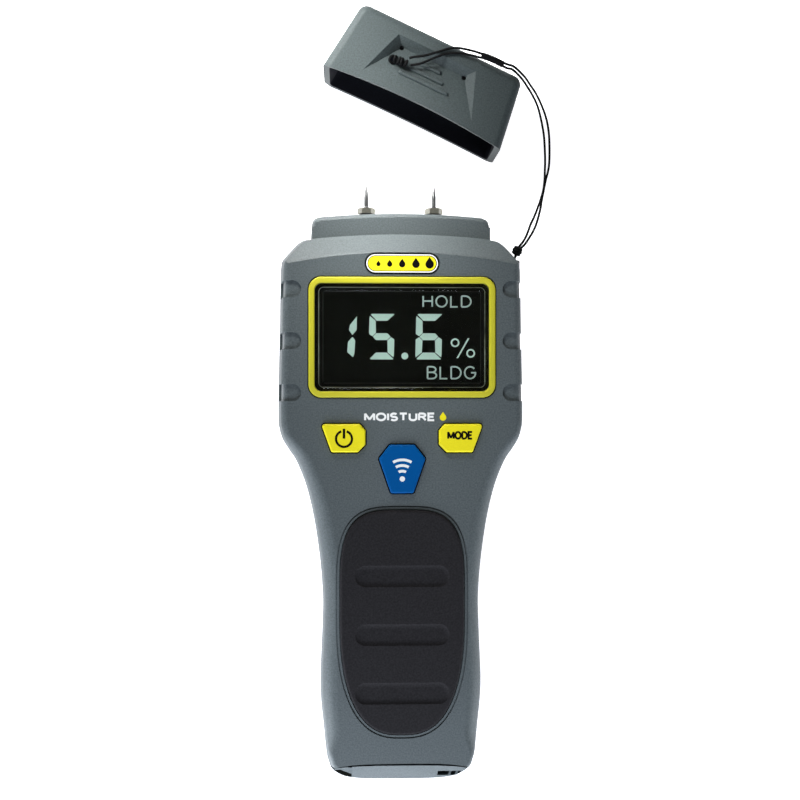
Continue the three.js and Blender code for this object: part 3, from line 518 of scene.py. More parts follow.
# Letters as centre lines, one unit high: the advance, then the strokes.
glyphs = {
    "B": (0.58, [[(0, 0), (0, 1)], [(0, 1), *arc(0.28, 0.765, 0.26, 0.235, 90, -90), (0, 0.53)],
                 [(0.24, 0.53), *arc(0.3, 0.265, 0.28, 0.265, 90, -90), (0, 0)]]),
    "D": (0.64, [[(0, 0), (0, 1)], [(0, 1), *arc(0.24, 0.5, 0.4, 0.5, 90, -90, 16), (0, 0)]]),
    "E": (0.5, [[(0.5, 1), (0, 1), (0, 0), (0.5, 0)], [(0, 0.52), (0.44, 0.52)]]),
    "G": (0.7, [[*arc(0.36, 0.5, 0.36, 0.5, 42, 345, 24), (0.708, 0.5), (0.42, 0.5)]]),
    "H": (0.62, [[(0, 0), (0, 1)], [(0.62, 0), (0.62, 1)], [(0, 0.53), (0.62, 0.53)]]),
    "I": (0.0, [[(0, 0), (0, 1)]]),
    "L": (0.47, [[(0, 1), (0, 0), (0.47, 0)]]),
    "M": (0.78, [[(0, 0), (0, 1)], [(0, 0.98), (0.4, 0.1)],
                 [(0.38, 0.1), (0.78, 0.98)], [(0.78, 1), (0.78, 0)]]),
    "O": (0.74, [[*arc(0.37, 0.5, 0.37, 0.5, 90, 270, 16)], [*arc(0.37, 0.5, 0.37, 0.5, -90, 90, 16)]]),
    "R": (0.58, [[(0, 0), (0, 1)], [(0, 1), *arc(0.27, 0.755, 0.28, 0.245, 90, -90), (0, 0.51)],
                 [(0.3, 0.51), (0.58, 0)]]),
    "S": (0.54, [[*arc(0.27, 0.75, 0.25, 0.25, 30, 255, 14), *arc(0.27, 0.25, 0.27, 0.26, 75, -150, 14)]]),
    "T": (0.62, [[(0, 1), (0.62, 1)], [(0.31, 1), (0.31, 0)]]),
    "U": (0.58, [[(0, 1), *arc(0.29, 0.29, 0.29, 0.29, 180, 360, 12), (0.58, 1)]]),
}


# The outline of a stroke of one width along a line, mitred where it bends.
def bandOutline(line, width):
    line = [Vector(p) for p in line]
    left, right = [], []
    for i, p in enumerate(line):
        before = (p - line[i - 1]).normalized() if i else None
        after = (line[i + 1] - p).normalized() if i + 1 < len(line) else None
        before, after = before or after, after or before
        ahead = (before + after).normalized()
        side = Vector((-ahead.y, ahead.x))
        reach = width / 2 / max(0.45, side.dot(Vector((-before.y, before.x))))
        left.append(p + side * reach)
        right.append(p - side * reach)
    return left + right[::-1]


# Flat letters of one stroke width that fill box = (x0, y0, x1, y1).
def lettering(name, words, box, low, high, width, spacing, material, body):
    x0, y0, x1, y1 = box
    total = sum(glyphs[c][0] for c in words) + spacing * (len(words) - 1)
    across, up = (x1 - x0 - width) / total, y1 - y0 - width
    strokes, at = [], 0.0
    for letter in words:
        advance, lines = glyphs[letter]
        for line in lines:
            placed = [(x0 + width / 2 + (at + x) * across, y0 + width / 2 + y * up) for x, y in line]
            step = 0.003 * (len(strokes) % 3)  # keeps the faces of crossing strokes apart
            band = [tuple(p) for p in bandOutline(placed, width)]
            strokes.append(flatShape("stroke", band, low, high + step))
        at += advance + spacing
    piece = merged(strokes[0], strokes[1:])
    piece.name = name
    return dressed(piece, material, body)


# Cord

cord = {
    "strandRadius": 0.4,
    "sleeveRadius": 1.05,
    "length": 0.121,
    "outer": [
        (40.4, 82.7, 18.1), (41, 83.15, 18), (42, 84.2, 17.3), (43.2, 85.9, 16), (45.1, 88.7, 13.2),
        (46.8, 91.9, 9.6), (48.1, 95.2, 6.2), (49, 98.1, 4.2), (49.6, 101, 3), (50.4, 104.6, 2.2),
        (51.2, 108.2, 1.7), (51.9, 110.7, 1.4), (52.4, 113.2, 1), (52.6, 116.3, 0.7), (52.6, 120.2, 0.7),
        (52.4, 124.3, 0.8), (51.6, 128.3, 1.8), (50.2, 131.1, 4.6), (48.1, 133.6, 9.2), (45.7, 135.6, 14.6),
        (43.4, 137, 19.2), (41.4, 138.4, 22.8), (39.1, 139.6, 26.2), (36.7, 140.8, 28.6), (34.4, 141.3, 29.5),
        (29.9, 143, 29.7), (25.7, 144.8, 29.4), (22.1, 145.9, 29.1), (18.2, 146.6, 28.9), (15.2, 146.3, 28.8),
        (12.6, 145.5, 28.7), (8, 144.2, 28.4), (4.1, 143.6, 28.3), (2.6, 143.3, 28.2),
    ],
    "inner": [
        (39.8, 83.1, 18.1), (40.3, 83.75, 18), (41.3, 85, 17.2), (42.9, 87.6, 14.4), (44.7, 91.5, 10.2),
        (46.7, 95.2, 6.4), (48.1, 98.3, 3.8), (49.3, 101.2, 2), (50.4, 104.8, 1.1), (50.9, 108.3, 0.6),
        (51, 111.1, 0.6), (51.1, 114.6, 0.6), (51, 118.8, 0.6), (50.6, 124.3, 0.6), (49.1, 129.7, 3.2),
        (47.3, 132.9, 7.6), (44.9, 135.1, 13), (42.5, 136.7, 18.2), (40.6, 137.9, 22), (38.5, 138.9, 25.6),
        (36.2, 139.9, 28.4), (34, 140.2, 29.4), (29.9, 142.4, 29.7), (25.3, 143.5, 29.4), (22.8, 144.2, 29.1),
        (19.1, 144.9, 28.9), (15.2, 144.8, 28.8), (12.2, 143.9, 28.7), (8.7, 142.5, 28.4), (5.9, 141.4, 28.3),
        (3, 141, 28.2),
    ],
    "sleeve": [(33.4, 141, 29.7), (29.9, 142.7, 29.7), (26.1, 144.1, 29.55)],
    "exit": (38.1, 79.3, 18),
    "bead": (39.2, 81.7, 18),
    "knot": (-0.4, 142.3, 28.2),
    "eyeLoop": (-2.6, 143.1, 27.0),
}


def cordCurve(name, spots, radius, steps=8):
    line = throughPoints(spots, steps)
    curve = bpy.data.curves.new(name, "CURVE")
    curve.dimensions = "3D"
    curve.bevel_depth = radius * mm
    curve.bevel_resolution = 3
    curve.use_fill_caps = True
    spline = curve.splines.new("POLY")
    spline.points.add(len(line) - 1)
    for point, spot in zip(spline.points, line):
        point.co = (*(spot * mm), 1)
    piece = bpy.data.objects.new(name, curve)
    bpy.context.scene.collection.objects.link(piece)
    piece.data.materials.append(cordBlack)
    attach(piece, "lanyard")
    return piece


# A tube of changing radius along points, as a mesh with closed ends, or a closed loop.
def tubeMesh(name, spots, radii, sides=14, closed=False):
    spots = [Vector(p) for p in spots]
    count = len(spots)
    rings = []
    side = None
    for i, p in enumerate(spots):
        before = spots[i - 1] if i or closed else p
        after = spots[(i + 1) % count] if i + 1 < count or closed else p
        ahead = (after - before).normalized()
        if side is None:
            side = ahead.orthogonal().normalized()
        side = (side - ahead * side.dot(ahead)).normalized()
        other = ahead.cross(side)
        for k in range(sides):
            a = 2 * math.pi * k / sides
            rings.append(p + (side * math.cos(a) + other * math.sin(a)) * radii[i])
    faces = []
    for s in range(count if closed else count - 1):
        a, b = s * sides, ((s + 1) % count) * sides
        for k in range(sides):
            j = (k + 1) % sides
            faces.append([a + k, a + j, b + j, b + k])
    if not closed:
        faces.append(list(range(sides))[::-1])
        faces.append([(count - 1) * sides + k for k in range(sides)])
    return newObject(name, rings, faces)


loopSteps = 28


# Points of a ring about a centre, whose axis is around.
def loopSpots(centre, around, radius, squash=1.0):
    around = Vector(around).normalized()
    one = around.orthogonal().normalized()
    two = around.cross(one)
    return [Vector(centre) + one * radius * math.cos(a) + two * radius * squash * math.sin(a)
            for a in (2 * math.pi * i / loopSteps for i in range(loopSteps))]


strandOuter = cordCurve("cordStrandOuter", cord["outer"], cord["strandRadius"])
strandInner = cordCurve("cordStrandInner", cord["inner"], cord["strandRadius"])
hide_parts("cord_strand_outer", "cord_upper_outer")
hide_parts("cord_strand_inner", "cord_upper_inner")

sleeveLine = throughPoints(cord["sleeve"], 10)
sleeveRadii = [cord["sleeveRadius"] * (0.86 if i in (0, len(sleeveLine) - 1) else 1.0)
               for i in range(len(sleeveLine))]
cordSleeve = tubeMesh("cordSleeve", sleeveLine, sleeveRadii)
dressed(cordSleeve, cordBlack, "lanyard", ["cord_sleeve"])

# A bead of knotted cord: three turns round a short core.
bead = {
    "axis": (0.45, 0.89, 0.0),
    "core": [(0, -1.6), (0.8, -1.45), (1.2, -0.7), (1.25, 0), (1.2, 0.7), (0.8, 1.45), (0, 1.6)],
    "coreTurn": -27,
    "turns": ((-0.85, 1.0), (0.0, 1.22), (0.85, 1.0)),  # place along the axis, radius
    "turnRadius": 0.55,
    "tilt": 0.25,
}
beadAxis = Vector(bead["axis"])
beadAt = Vector(cord["bead"])
cordBead = turned("cordBead", bead["core"], 24,
                  shift(*beadAt, bead["coreTurn"]) @ Matrix.Rotation(math.radians(-90), 4, "X"))
turns = []
for step, radius in bead["turns"]:
    ring = loopSpots(beadAt + beadAxis * step, beadAxis + Vector((0, 0, bead["tilt"])), radius)
    turns.append(tubeMesh("turn", ring, [bead["turnRadius"]] * loopSteps, closed=True))
merged(cordBead, turns)
dressed(cordBead, cordBlack, "lanyard", ["cord_bead"], angle=60)

tailLine = throughPoints([(38.1, 79.05, 18), (38.4, 79.5, 18), (38.75, 80.3, 18)], 5)
cordTail = tubeMesh("cordTail", tailLine, [0.45] * len(tailLine), 12)
dressed(cordTail, cordBlack, "lanyard", ["cord_tail"], angle=60)

# The hitch at the cap: turns round both strands, and a loop that goes down through the eye.
hitch = {
    "angle": -0.4,
    "core": [(0, -2.4), (0.6, -2.2), (0.85, -1), (0.85, 1.2), (0.6, 2.3), (0, 2.5)],
    "coreTurn": -22.9,
    # place along the axis, radius, lean
    "turns": ((-1.6, 0.92, 0.3), (-0.45, 1.02, -0.15), (0.75, 1.05, 0.2), (1.95, 0.95, -0.25)),
    "turnRadius": 0.46,
    "lowest": 26.6,
    "eyeAxis": (0.25, -0.1, 1.0),
    "eyeRadius": 1.25,
    "eyeTurnRadius": 0.42,
}
knotAt = Vector(cord["knot"])
knotAxis = Vector((math.cos(hitch["angle"]), math.sin(hitch["angle"]), 0))
cordKnot = turned("cordKnot", hitch["core"], 20,
                  shift(*knotAt, hitch["coreTurn"]) @ Matrix.Rotation(math.radians(90), 4, "Y"))
turns = []
for step, radius, lean in hitch["turns"]:
    axis = knotAxis + Vector((0, lean * 0.6, lean))
    ring = loopSpots(knotAt + knotAxis * step, axis, radius)
    ring = [Vector((p.x, p.y, max(p.z, hitch["lowest"]))) for p in ring]
    turns.append(tubeMesh("turn", ring, [hitch["turnRadius"]] * loopSteps, closed=True))
eyeRing = loopSpots(cord["eyeLoop"], hitch["eyeAxis"], hitch["eyeRadius"], 0.9)
turns.append(tubeMesh("turn", eyeRing, [hitch["eyeTurnRadius"]] * loopSteps, closed=True))
merged(cordKnot, turns)
dressed(cordKnot, cordBlack, "lanyard", ["cord_knot"], angle=60)

print("cord made")

# Case: outline and bulk

case = {
    "top": 93.95,
    "end": -89.05,
    "front": 36.0,
    "parting": 18.0,
    "wall": 2.2,
    "gap": 0.3,
    "sides": [
        (0.0, -94.25), (11.3, -94.1), (17.5, -93.4), (20.8, -92.1), (22.8, -90.4), (23.7, -88.1),
        (24.5, -84.75), (25.5, -74.75), (26.2, -68.1), (26.5, -61.4), (26.3, -54.75), (26.0, -48.1),
        (25.75, -41.4), (25.6, -34.75), (25.9, -28.1), (26.5, -21.4), (27.35, -14.75), (28.4, -8.1),
        (29.8, -1.4), (31.7, 5.25), (34.5, 11.9), (36.8, 15.4), (38.9, 18.8), (40.0, 22.2), (40.4, 26.0),
        (40.3, 38.6), (40.0, 52.0), (39.8, 65.0), (39.6, 75.0),
    ],
    "shoulder": [(39.35, 77.3), (38.8, 78.4), (36.3, 81.25), (34.0, 83.6), (31.6, 85.0), (28.0, 85.25)],
    "headHalf": 30.0,
    "headTopHalf": 29.2,
    "headLow": 6.0,
    "headHigh": 30.0,
    "headRound": 1.3,
    "draft": 0.00237,
    "draftMiddle": 31.9,
    # how round the front edge is at a height on the outline: (y, radius)
    "edgeMarks": [(-95, 1.0), (-88, 1.3), (-80, 4.6), (-60, 5.4), (-10, 5.2), (8, 4.2), (22, 2.4),
                  (74, 2.3), (80, 1.2), (90, 1.0)],
}


# How round the front edge is at a point of the outline: broad on the grip, tight elsewhere.
def edgeRound(p):
    marks = case["edgeMarks"]
    for (y0, r0), (y1, r1) in zip(marks, marks[1:]):
        if p.y <= y1:
            t = max(0, (p.y - y0) / (y1 - y0))
            t = t * t * (3 - 2 * t)
            return r0 + (r1 - r0) * t
    return 1.0


def caseOutline():
    side = [Vector(p) for p in throughPoints(case["sides"], 4)]
    shoulder = [Vector(p) for p in throughPoints(case["shoulder"], 3)]
    right = side + shoulder
    return right + mirrorOf(right)[:-1]


def headTopY(x):
    return case["top"] - 1.6 * (x / case["headHalf"]) ** 2


def headOutline():
    half, corner = case["headTopHalf"], 2.0
    right = [Vector((case["headHalf"], 70.0)), Vector((case["headHalf"], 80.0)),
             Vector((half + 0.15, headTopY(half) - corner - 0.5))]
    for i in range(1, 8):
        a = math.pi / 2 * i / 8
        right.append(Vector((half - corner + corner * math.cos(a),
                             headTopY(half) - corner + corner * math.sin(a))))
    for i in range(12):
        x = (half - corner) * (1 - i / 11)
        right.append(Vector((x, headTopY(x))))
    return right + mirrorOf(right)[1:]


outline = caseOutline()


slope = {
    "half": 44,  # how far to each side it cuts
    "start": 79.6,  # where the front face begins to fall, on the middle line
    "startBow": 3.6,
    "startHalf": 36.5,
    "end": 85.6,  # where it meets the head, on the middle line
    "endBow": 1.7,
    "endHalf": 30,
}


# What the slope at the top takes away: the front face falls on curved lines towards the head.
def slopeCutter(name, drop=0.0, back=0.0):
    layers, steps = [], 24
    for i in range(steps + 1):
        x = -slope["half"] + 2 * slope["half"] * i / steps
        start = slope["start"] - slope["startBow"] * (x / slope["startHalf"]) ** 2 - back
        end = slope["end"] - slope["endBow"] * (x / slope["endHalf"]) ** 2 - back
        high, low = case["front"] - drop, case["headHigh"] - drop
        rise = (end - start) / (high - low)
        line = [(start - 2.4, high + 2.6), (start - 0.9, high + 0.08), (start - 0.3, high - 0.1),
                (start + 0.45, high - 0.6), (end - 0.05 * rise, low + 0.05), (end, low),
                (110, low), (110, high + 12), (start - 2.4, high + 12)]
        layers.append((x, line))
    return sliced(name, layers)


# Leans every wall above the parting plane in towards the middle of the case.
def drafted(piece):
    for v in piece.data.vertices:
        rise = v.co.z / mm - case["parting"]
        if rise > 0:
            scale = 1 - case["draft"] * rise
            middle = case["draftMiddle"] * mm
            v.co.x *= scale
            v.co.y = middle + (v.co.y - middle) * scale
    return piece


# The case and head as one solid, or the space inside them at a distance from the skin.
def caseBulk(name, inset=0.0):
    line = moved(outline, -inset) if inset else outline
    fronts = [max(0.4, edgeRound(p) - inset) for p in outline]
    rears = [max(0.3, min(3.0, edgeRound(p)) - inset) for p in outline]
    bulk = soft(name, line, inset, case["front"] - inset, rears, fronts, 7, middle=case["parting"])
    drafted(bulk)
    brow = boxed("brow", -28.9 + inset, 28.9 - inset, 70, 88 - inset, 20, case["front"] - inset - 0.1)
    combined(bulk, [brow], "UNION")
    combined(bulk, [slopeCutter("slope", inset, 0.4 * inset)])
    headLine = moved(headOutline(), -inset) if inset else headOutline()
    headEdge = max(0.3, case["headRound"] - inset)
    head = soft("head", headLine, case["headLow"] + inset, case["headHigh"] - inset, headEdge, headEdge, 5,
                middle=case["parting"])
    return combined(bulk, [drafted(head)], "UNION")


lowerEnd = {"half": 40, "highY": -84.3, "bow": 0.5, "bowHalf": 17, "bowMost": 1.6}


# All that lies beyond the front shell's lower end, which leans in and curves across.
def endSolid(name, out=0.0):
    layers, steps = [], 20
    for i in range(steps + 1):
        x = -lowerEnd["half"] + 2 * lowerEnd["half"] * i / steps
        bow = lowerEnd["bow"] * min(lowerEnd["bowMost"], abs(x) / lowerEnd["bowHalf"]) ** 4
        high, low = lowerEnd["highY"] - bow - out, case["end"] - 0.3 * bow - out
        layers.append((x, [(-112, 37), (-112, 16.5), (low, 16.5), (low, 18), (high, 37)]))
    return sliced(name, layers)


# The part of the case between two heights, hollow inside.
def halfOf(name, low, high, base):
    shell = caseBulk(name)
    combined(shell, [boxed("half", -60, 60, base, 110, low, high)], "INTERSECT")
    hollow = caseBulk("hollow", case["wall"])
    beyond = boxed("end", -60, 60, -110, case["end"] + case["wall"], -5, 50)
    combined(hollow, [beyond, endSolid("end", -2.4)])
    return combined(shell, [hollow])


# Front shell

display = {"y": 52.0, "width": 59.9, "height": 38.6, "corner": 4.2, "seat": 1.6}
badge = {"y": 75.6, "width": 23.6, "height": 6.5}
notches = {"ys": (67.45, 50.85, 34.25), "height": 5.4, "inner": 32.3, "depth": 0.75}
powerKey = [(-22.6, 15.2), (-14.2, 15.2), (-11.75, 17.7), (-11.75, 22.1), (-13.6, 24.2), (-25.6, 24.2),
            (-25.5, 23.2)]
keys = {
    "power_key": powerKey,
    "mode_key": [(-x, y) for x, y in reversed(powerKey)],
    "link_key": [(-3.6, 2.1), (3.6, 2.1), (7.45, 13.2), (3.95, 17.6), (-3.95, 17.6), (-7.45, 13.2)],
}
keyHeights = {"air": 0.42, "top": 37.2, "flangeTop": 33.5, "flangeBottom": 32.5, "stem": 1.6, "stemEnd": 31.2}
pad = {"top": -3.3, "bottom": -75.15, "half": 19.85, "seat": 1.1, "topZ": 37.1}
pinX = 11.25
tieX = 38.1
screwSpots = [(-33.0, 72.75), (33.0, 72.75), (-19.25, -82.25), (19.25, -82.25)]


def keyOutline(name, grow=0.0):
    return moved(rounded(keys[name], 0.75 if name != "link_key" else 0.9, 5), grow)


# Two superellipse ends: squarer above, rounder below.
def padOutline(grow=0.0, steps=44):
    length = pad["top"] - pad["bottom"]
    upper, lower = 0.335 * length, 0.51 * length
    line = []
    for i in range(steps + 1):
        a = math.pi * i / steps
        c, s = math.cos(a), math.sin(a)
        x = math.copysign(abs(c) ** (2 / 3.6), c)
        line.append(Vector((pad["half"] * x, pad["top"] - upper + upper * abs(s) ** (2 / 2.9))))
    for i in range(steps + 1):
        a = math.pi * (1 + i / steps)
        c, s = math.cos(a), math.sin(a)
        x = math.copysign(abs(c) ** (2 / 2.7), c)
        line.append(Vector((pad["half"] * x, pad["bottom"] + lower - lower * abs(s) ** (2 / 2.3))))
    return moved(line, grow) if grow else line


# Slots across the sides of the display block, round at their inner ends, of an even depth.
def notchCutters():
    slots = None
    for y in notches["ys"]:
        for side in (-1, 1):
            length = 12.0
            slot = soft("slot", boxOutline(length, notches["height"], notches["height"] / 2 - 0.05,
                                           side * (notches["inner"] + length / 2), y, 8), 21.0, 40.0)
            slots = slot if slots is None else merged(slots, [slot])
    return combined(slots, [caseBulk("core", notches["depth"])])


def bore(name, radius, depth, place):
    return turned(name, [(0, 0), (radius, 0), (radius, depth), (0, depth)], 24, place)


# The two pin holes in the head, and the hole in the shoulder for the cord's anchor.
def endBores():
    middle = case["parting"]
    pinHoles = [bore("pinHole", 1.45, 12, alongY(x, 85, middle)) for x in (-pinX, pinX)]
    return pinHoles + [bore("tieHole", 2.2, 9, alongY(tieX, 73.95, middle))]


frontShell = halfOf("frontShell", case["parting"] + 0.15, 50, -100)
cuts = [
    endSolid("lowerEnd"),
    soft("seat", boxOutline(display["width"] + 2 * case["gap"], display["height"] + 2 * case["gap"],
                            display["corner"], 0, display["y"]), case["front"] - display["seat"], 40),
    soft("opening", boxOutline(51.7, 30.4, 1.2, 0, display["y"], 3), 30, 38),
    soft("badgeSeat", boxOutline(badge["width"] + 2 * case["gap"], badge["height"] + 2 * case["gap"], 3.54,
                                 0, badge["y"], 8), 35.1, 40),
    soft("padSeat", padOutline(0.3), case["front"] - pad["seat"], 40),
    swept("groove", padOutline(1.35), [(0, 35.3), (0, 37), (0.45, 37), (0.45, 35.3)]),
]
cuts += [soft("keyHole", keyOutline(name, keyHeights["air"]), 30, 40) for name in keys]
combined(frontShell, cuts)
combined(frontShell, [notchCutters()])
combined(frontShell, endBores())
bosses = []
for x, y in screwSpots:
    boss = swept("boss", circle(3.3, 24, x, y), [(0, 18.15), (0, 34.4), (1.7, 34.4), (1.7, 18.15)])
    bosses.append(boss)
merged(frontShell, bosses)
dressed(frontShell, casePlastic, "meter", ["front_housing"])
print("front shell made")

# Rear shell, door and what is on the back

door = {
    "doorHalf": 20.5,
    "upperHalf": 25,
    "wallY": (-100, -80),
    "wallAir": 0.65,  # from the front shell's end
    "plateHalf": 14.65,
    "plateBottom": -90.5,
    "plateTop": -31.65,
    "stepX": -16.1,  # left of this the upper edge lies lower
    "notch": [(-19.6, -87.1), (-16.1, -87.7), (-16.1, -80), (-19.6, -80)],
    "pocket": (11.9, 19.6, -91.0, -89.1, 21.0, 40),
    # a lowered corner whose floor at cornerZ is painted black as shade
    "corner": [(-25, -95), (-16.1, -95), (-16.1, -90.5), (-19.8, -88.5), (-25, -88.7)],
    "cornerZ": 21.5,
    "arrow": [(0, -69.0), (3.4, -65.0), (-3.4, -65.0)],
    "ribX": (15.4, 17.6),
}

rearShell = halfOf("rearShell", -5, case["parting"] - 0.15, -110)
cuts = [
    boxed("endCut", -20.55, 20.55, -110, case["end"], -5, 40),
    boxed("doorway", -14.95, 14.95, -110, -31.35, -5, 2.3),
    soft("labelSeat", boxOutline(40.6, 28.6, 2, 0, 40, 5), -3, 0.7),
]
screwHole = [(0, -3), (3.1, -3), (3.1, 3.3), (1.6, 3.3), (1.6, 20), (0, 20)]
cuts += [turned("screwHole", screwHole, 28, shift(x, y, 0)) for x, y in screwSpots]
cuts += endBores()
combined(rearShell, cuts)
extras = []
for x, y in screwSpots:
    extras.append(swept("boss", circle(3.3, 28, x, y), [(0, 3.35), (0, 17.85), (1.65, 17.85), (1.65, 3.35)]))
for side in (-1, 1):
    x0, x1 = sorted((side * 14.95, side * 16.15))
    extras.append(boxed("bayWall", x0, x1, -86.8, -30.65, 2.25, 14.0))
merged(rearShell, extras)
dressed(rearShell, casePlastic, "meter", ["rear_housing"])


def outlinePrism(name, corners, low, high):
    line = [Vector(p) for p in corners]
    return stacked(name, [(line, low), (line, high)])


# The end wall, cut to the case's outline, with a falling upper edge, and the sliding plate.
def doorPiece():
    half, upperHalf = door["doorHalf"], door["upperHalf"]
    wall = boxed("batteryDoor", -half, half, *door["wallY"], -5, 18.2)
    combined(wall, [boxed("upperWall", -upperHalf, upperHalf, *door["wallY"], 18.1, 40)], "UNION")
    combined(wall, [caseBulk("bulk")], "INTERSECT")
    upper = endSolid("upper", door["wallAir"])
    below = boxed("below", -half - 1, half + 1, -110, case["end"] - 0.3, -6, 17)
    combined(wall, [combined(upper, [below], "UNION")], "INTERSECT")
    fallLine = ((-84, 33.3), (-97, 19.6), (-97, 60), (-84, 60))
    stepLine = ((-84, 32.2), (-97, 18.5), (-97, 60), (-84, 60))
    fall = hull("fall", [(x, y, z) for x in (-30, 30) for y, z in fallLine])
    step = hull("step", [(x, y, z) for x in (-30, door["stepX"]) for y, z in stepLine])
    notch = outlinePrism("notch", door["notch"], 22, 40)
    pocket = boxed("pocket", *door["pocket"])
    groove = soft("groove", boxOutline(24, 1.1, 0.5, 0, -91.6, 4), -1, 0.5)
    corner = outlinePrism("corner", door["corner"], door["cornerZ"], 40)
    combined(wall, [fall, step, notch, pocket, groove, corner])
    side, bottom, top = door["plateHalf"], door["plateBottom"], door["plateTop"]
    plateLine = rounded([(-side, bottom), (side, bottom), (side, top), (-side, top)], 0.4, 3)
    plate = soft("plate", plateLine, 0, 2.0, 0.25, 0.2, 3)
    grips = [soft("grip", boxOutline(16, 1.3, 0.6, 0, -84 + 3.0 * i, 5), -1, 0.6) for i in range(5)]
    arrow = outlinePrism("arrow", door["arrow"], -1, 0.5)
    combined(plate, grips + [arrow])
    combined(wall, [plate], "UNION")
    ribs = []
    for x in door["ribX"]:
        ribLine = [(x, -91.0), (x + 0.7, -91.0), (x + 1.4, -89.1), (x + 0.7, -89.1)]
        ribs.append(outlinePrism("rib", ribLine, 21.0, 26.0))
    return merged(wall, ribs)


batteryDoor = doorPiece()
dressed(batteryDoor, casePlastic, "battery_door", ["battery_door"])
# Painted shade: the lowered corner at the door's left end and the rear shell's upper faces at its lower end
# are painted black.
painted(batteryDoor, paintedShadeAndMaskBlack, lambda at, normal: abs(at.z - door["cornerZ"]) < 0.1 and at.x < -16)
painted(rearShell, paintedShadeAndMaskBlack, lambda at, normal: at.z > 17.6 and normal.z > 0.5 and at.y < -88.6)

rearLabel = soft("rearLabel", boxOutline(40, 28, 2, 0, 40, 6), 0.15, 0.55, 0.08, 0.0, 2)
dressed(rearLabel, labelSilver, "meter", ["rear_label"])
labelLines = swept("labelBorder", boxOutline(37, 25, 1.4, 0, 40, 6),
                   [(0, 0.12), (0, 0.3), (0.35, 0.3), (0.35, 0.12)])
bars = [soft("bar", boxOutline(w, 0.7, 0.3, 0, 46.5 - 2.4 * i, 3), 0.12, 0.3)
        for i, w in enumerate((28, 24, 28, 20, 26))]
merged(labelLines, bars)
dressed(labelLines, blackInk, "meter")

screwProfile = [(0, 0.85), (1.2, 0.85), (2.3, 1.05), (2.75, 1.6), (2.8, 3.0), (1.3, 3.0), (1.3, 21.5),
                (0, 22)]
for i, (x, y) in enumerate(screwSpots):
    screw = turned(f"caseScrew{i + 1}", screwProfile, 32, shift(x, y, 0, 20 * i))
    cross = [boxed("slot", -1.5, 1.5, -0.3, 0.3, -1, 2.0), boxed("slot", -0.3, 0.3, -1.5, 1.5, -1, 2.0)]
    for arm in cross:
        arm.data.transform(shift(x, y, 0, 20 * i))
    combined(screw, cross)
    dressed(screw, steelFinish, "meter", [f"case_screw_{i + 1}"])
print("rear shell and door made")

# Sensor head

pins = {"tip": 103.65, "shank": 1.15, "thin": 0.74, "nutAcross": 6.0, "nutHeight": 1.9}
nutFace = headTopY(pinX) + 0.05

for side, x in (("left", -pinX), ("right", pinX)):
    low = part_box(f"probe_pin_{side}")[0].y / mm
    top = nutFace + pins["nutHeight"]
    thin, tip = pins["thin"], pins["tip"]
    profile = [(0, low), (0.9, low), (pins["shank"], low + 0.4), (pins["shank"], top + 0.1)]
    profile += [(thin + 0.12, top + 0.35), (thin, top + 0.5), (thin, tip - 4.4),
                (thin * 0.98, tip - 4.2), (0.46, tip - 2.0), (0.2, tip - 0.5), (0, tip)]
    pin = turned(f"probePin{side.capitalize()}", profile, 28, alongY(x, 0, 18))
    dressed(pin, steelFinish, "meter", [f"probe_pin_{side}"])
    hexagon = circle(pins["nutAcross"] / 2, 6)
    nut = stacked(f"pinNut{side.capitalize()}", [(hexagon, 0), (hexagon, pins["nutHeight"])])
    cone = turned("cone", [(0, -0.1), (2.75, -0.1), (3.2, 0.3), (3.2, 1.35), (2.45, 1.95), (0, 1.95)], 40)
    combined(nut, [cone], "INTERSECT")
    combined(nut, [turned("bore", [(0, -1), (1.45, -1), (1.45, 5), (0, 5)], 28)])
    nut.data.transform(alongY(x, nutFace, 18))
    dressed(nut, nutFinish, "meter", [f"pin_nut_{side}"])
print("pins made")

# Display

ringOutline = boxOutline(display["width"], display["height"], display["corner"], 0, display["y"], 10)
ring = swept("displayRing", ringOutline, [
    (0, 34.55), (0, 36.1), (0.1, 36.33), (0.3, 36.46), (0.55, 36.5), (1.45, 36.5), (1.7, 36.44),
    (1.88, 36.25), (1.95, 36.0), (1.95, 34.55)])
dressed(ring, ringYellow, "meter", ["display_bezel"])
# A thin black ring in the gap round the display ring: painted shade.
ringGap = swept("ringGap", moved(ringOutline, 0.22), [(0, 34.5), (0, 35.75), (0.19, 35.75), (0.19, 34.5)])
dressed(ringGap, paintedShadeAndMaskBlack, "meter")

paneSize = {"width": 55.4, "height": 34.1, "corner": 2.3}


def paneLayer(inset, z):
    size = (paneSize["width"] - 2 * inset, paneSize["height"] - 2 * inset)
    return boxOutline(*size, max(0.5, paneSize["corner"] - 0.75 * inset), 0, display["y"], 8), z


inside = [(0, 34.55), (0, 35.1), (0.25, 35.3), (1.0, 35.62), (1.9, 35.62), (2.15, 35.45), (2.5, 35.42)]
pane = stacked("displayPane", [paneLayer(inset, z) for inset, z in inside])
dressed(pane, clearPane, "meter", ["display_window"], angle=3)
paneMask = swept("paneMask", boxOutline(55.8, 34.5, 2.5, 0, display["y"], 8),
                 [(0, 34.42), (0, 34.5), (3.0, 34.5), (3.0, 34.42)])
dressed(paneMask, paintedShadeAndMaskBlack, "meter")
# Thin light lines round the pane's border: painted highlights that stand in for reflections on its bevel, the
# inner one fainter.
paneLines = (("paneLine", 0.95, 0.2, paintedPaneHighlight), ("paneInnerLine", 2.3, 0.1, paintedPaneFaintHighlight))
for name, inset, width, material in paneLines:
    line = swept(name, paneLayer(inset, 0)[0], [(0, 34.48), (0, 34.53), (width, 34.53), (width, 34.48)])
    dressed(line, material, "meter")

lcdPanel = soft("lcdPanel", boxOutline(53.1, 32.8, 0.6, 0, display["y"], 3), 31.5, 33.5, 0, 0.1, 2)
dressed(lcdPanel, displayBlack, "meter", ["lcd_panel"])

legend = {"low": 33.49, "high": 33.56, "thick": 2.2, "gap": 0.13}


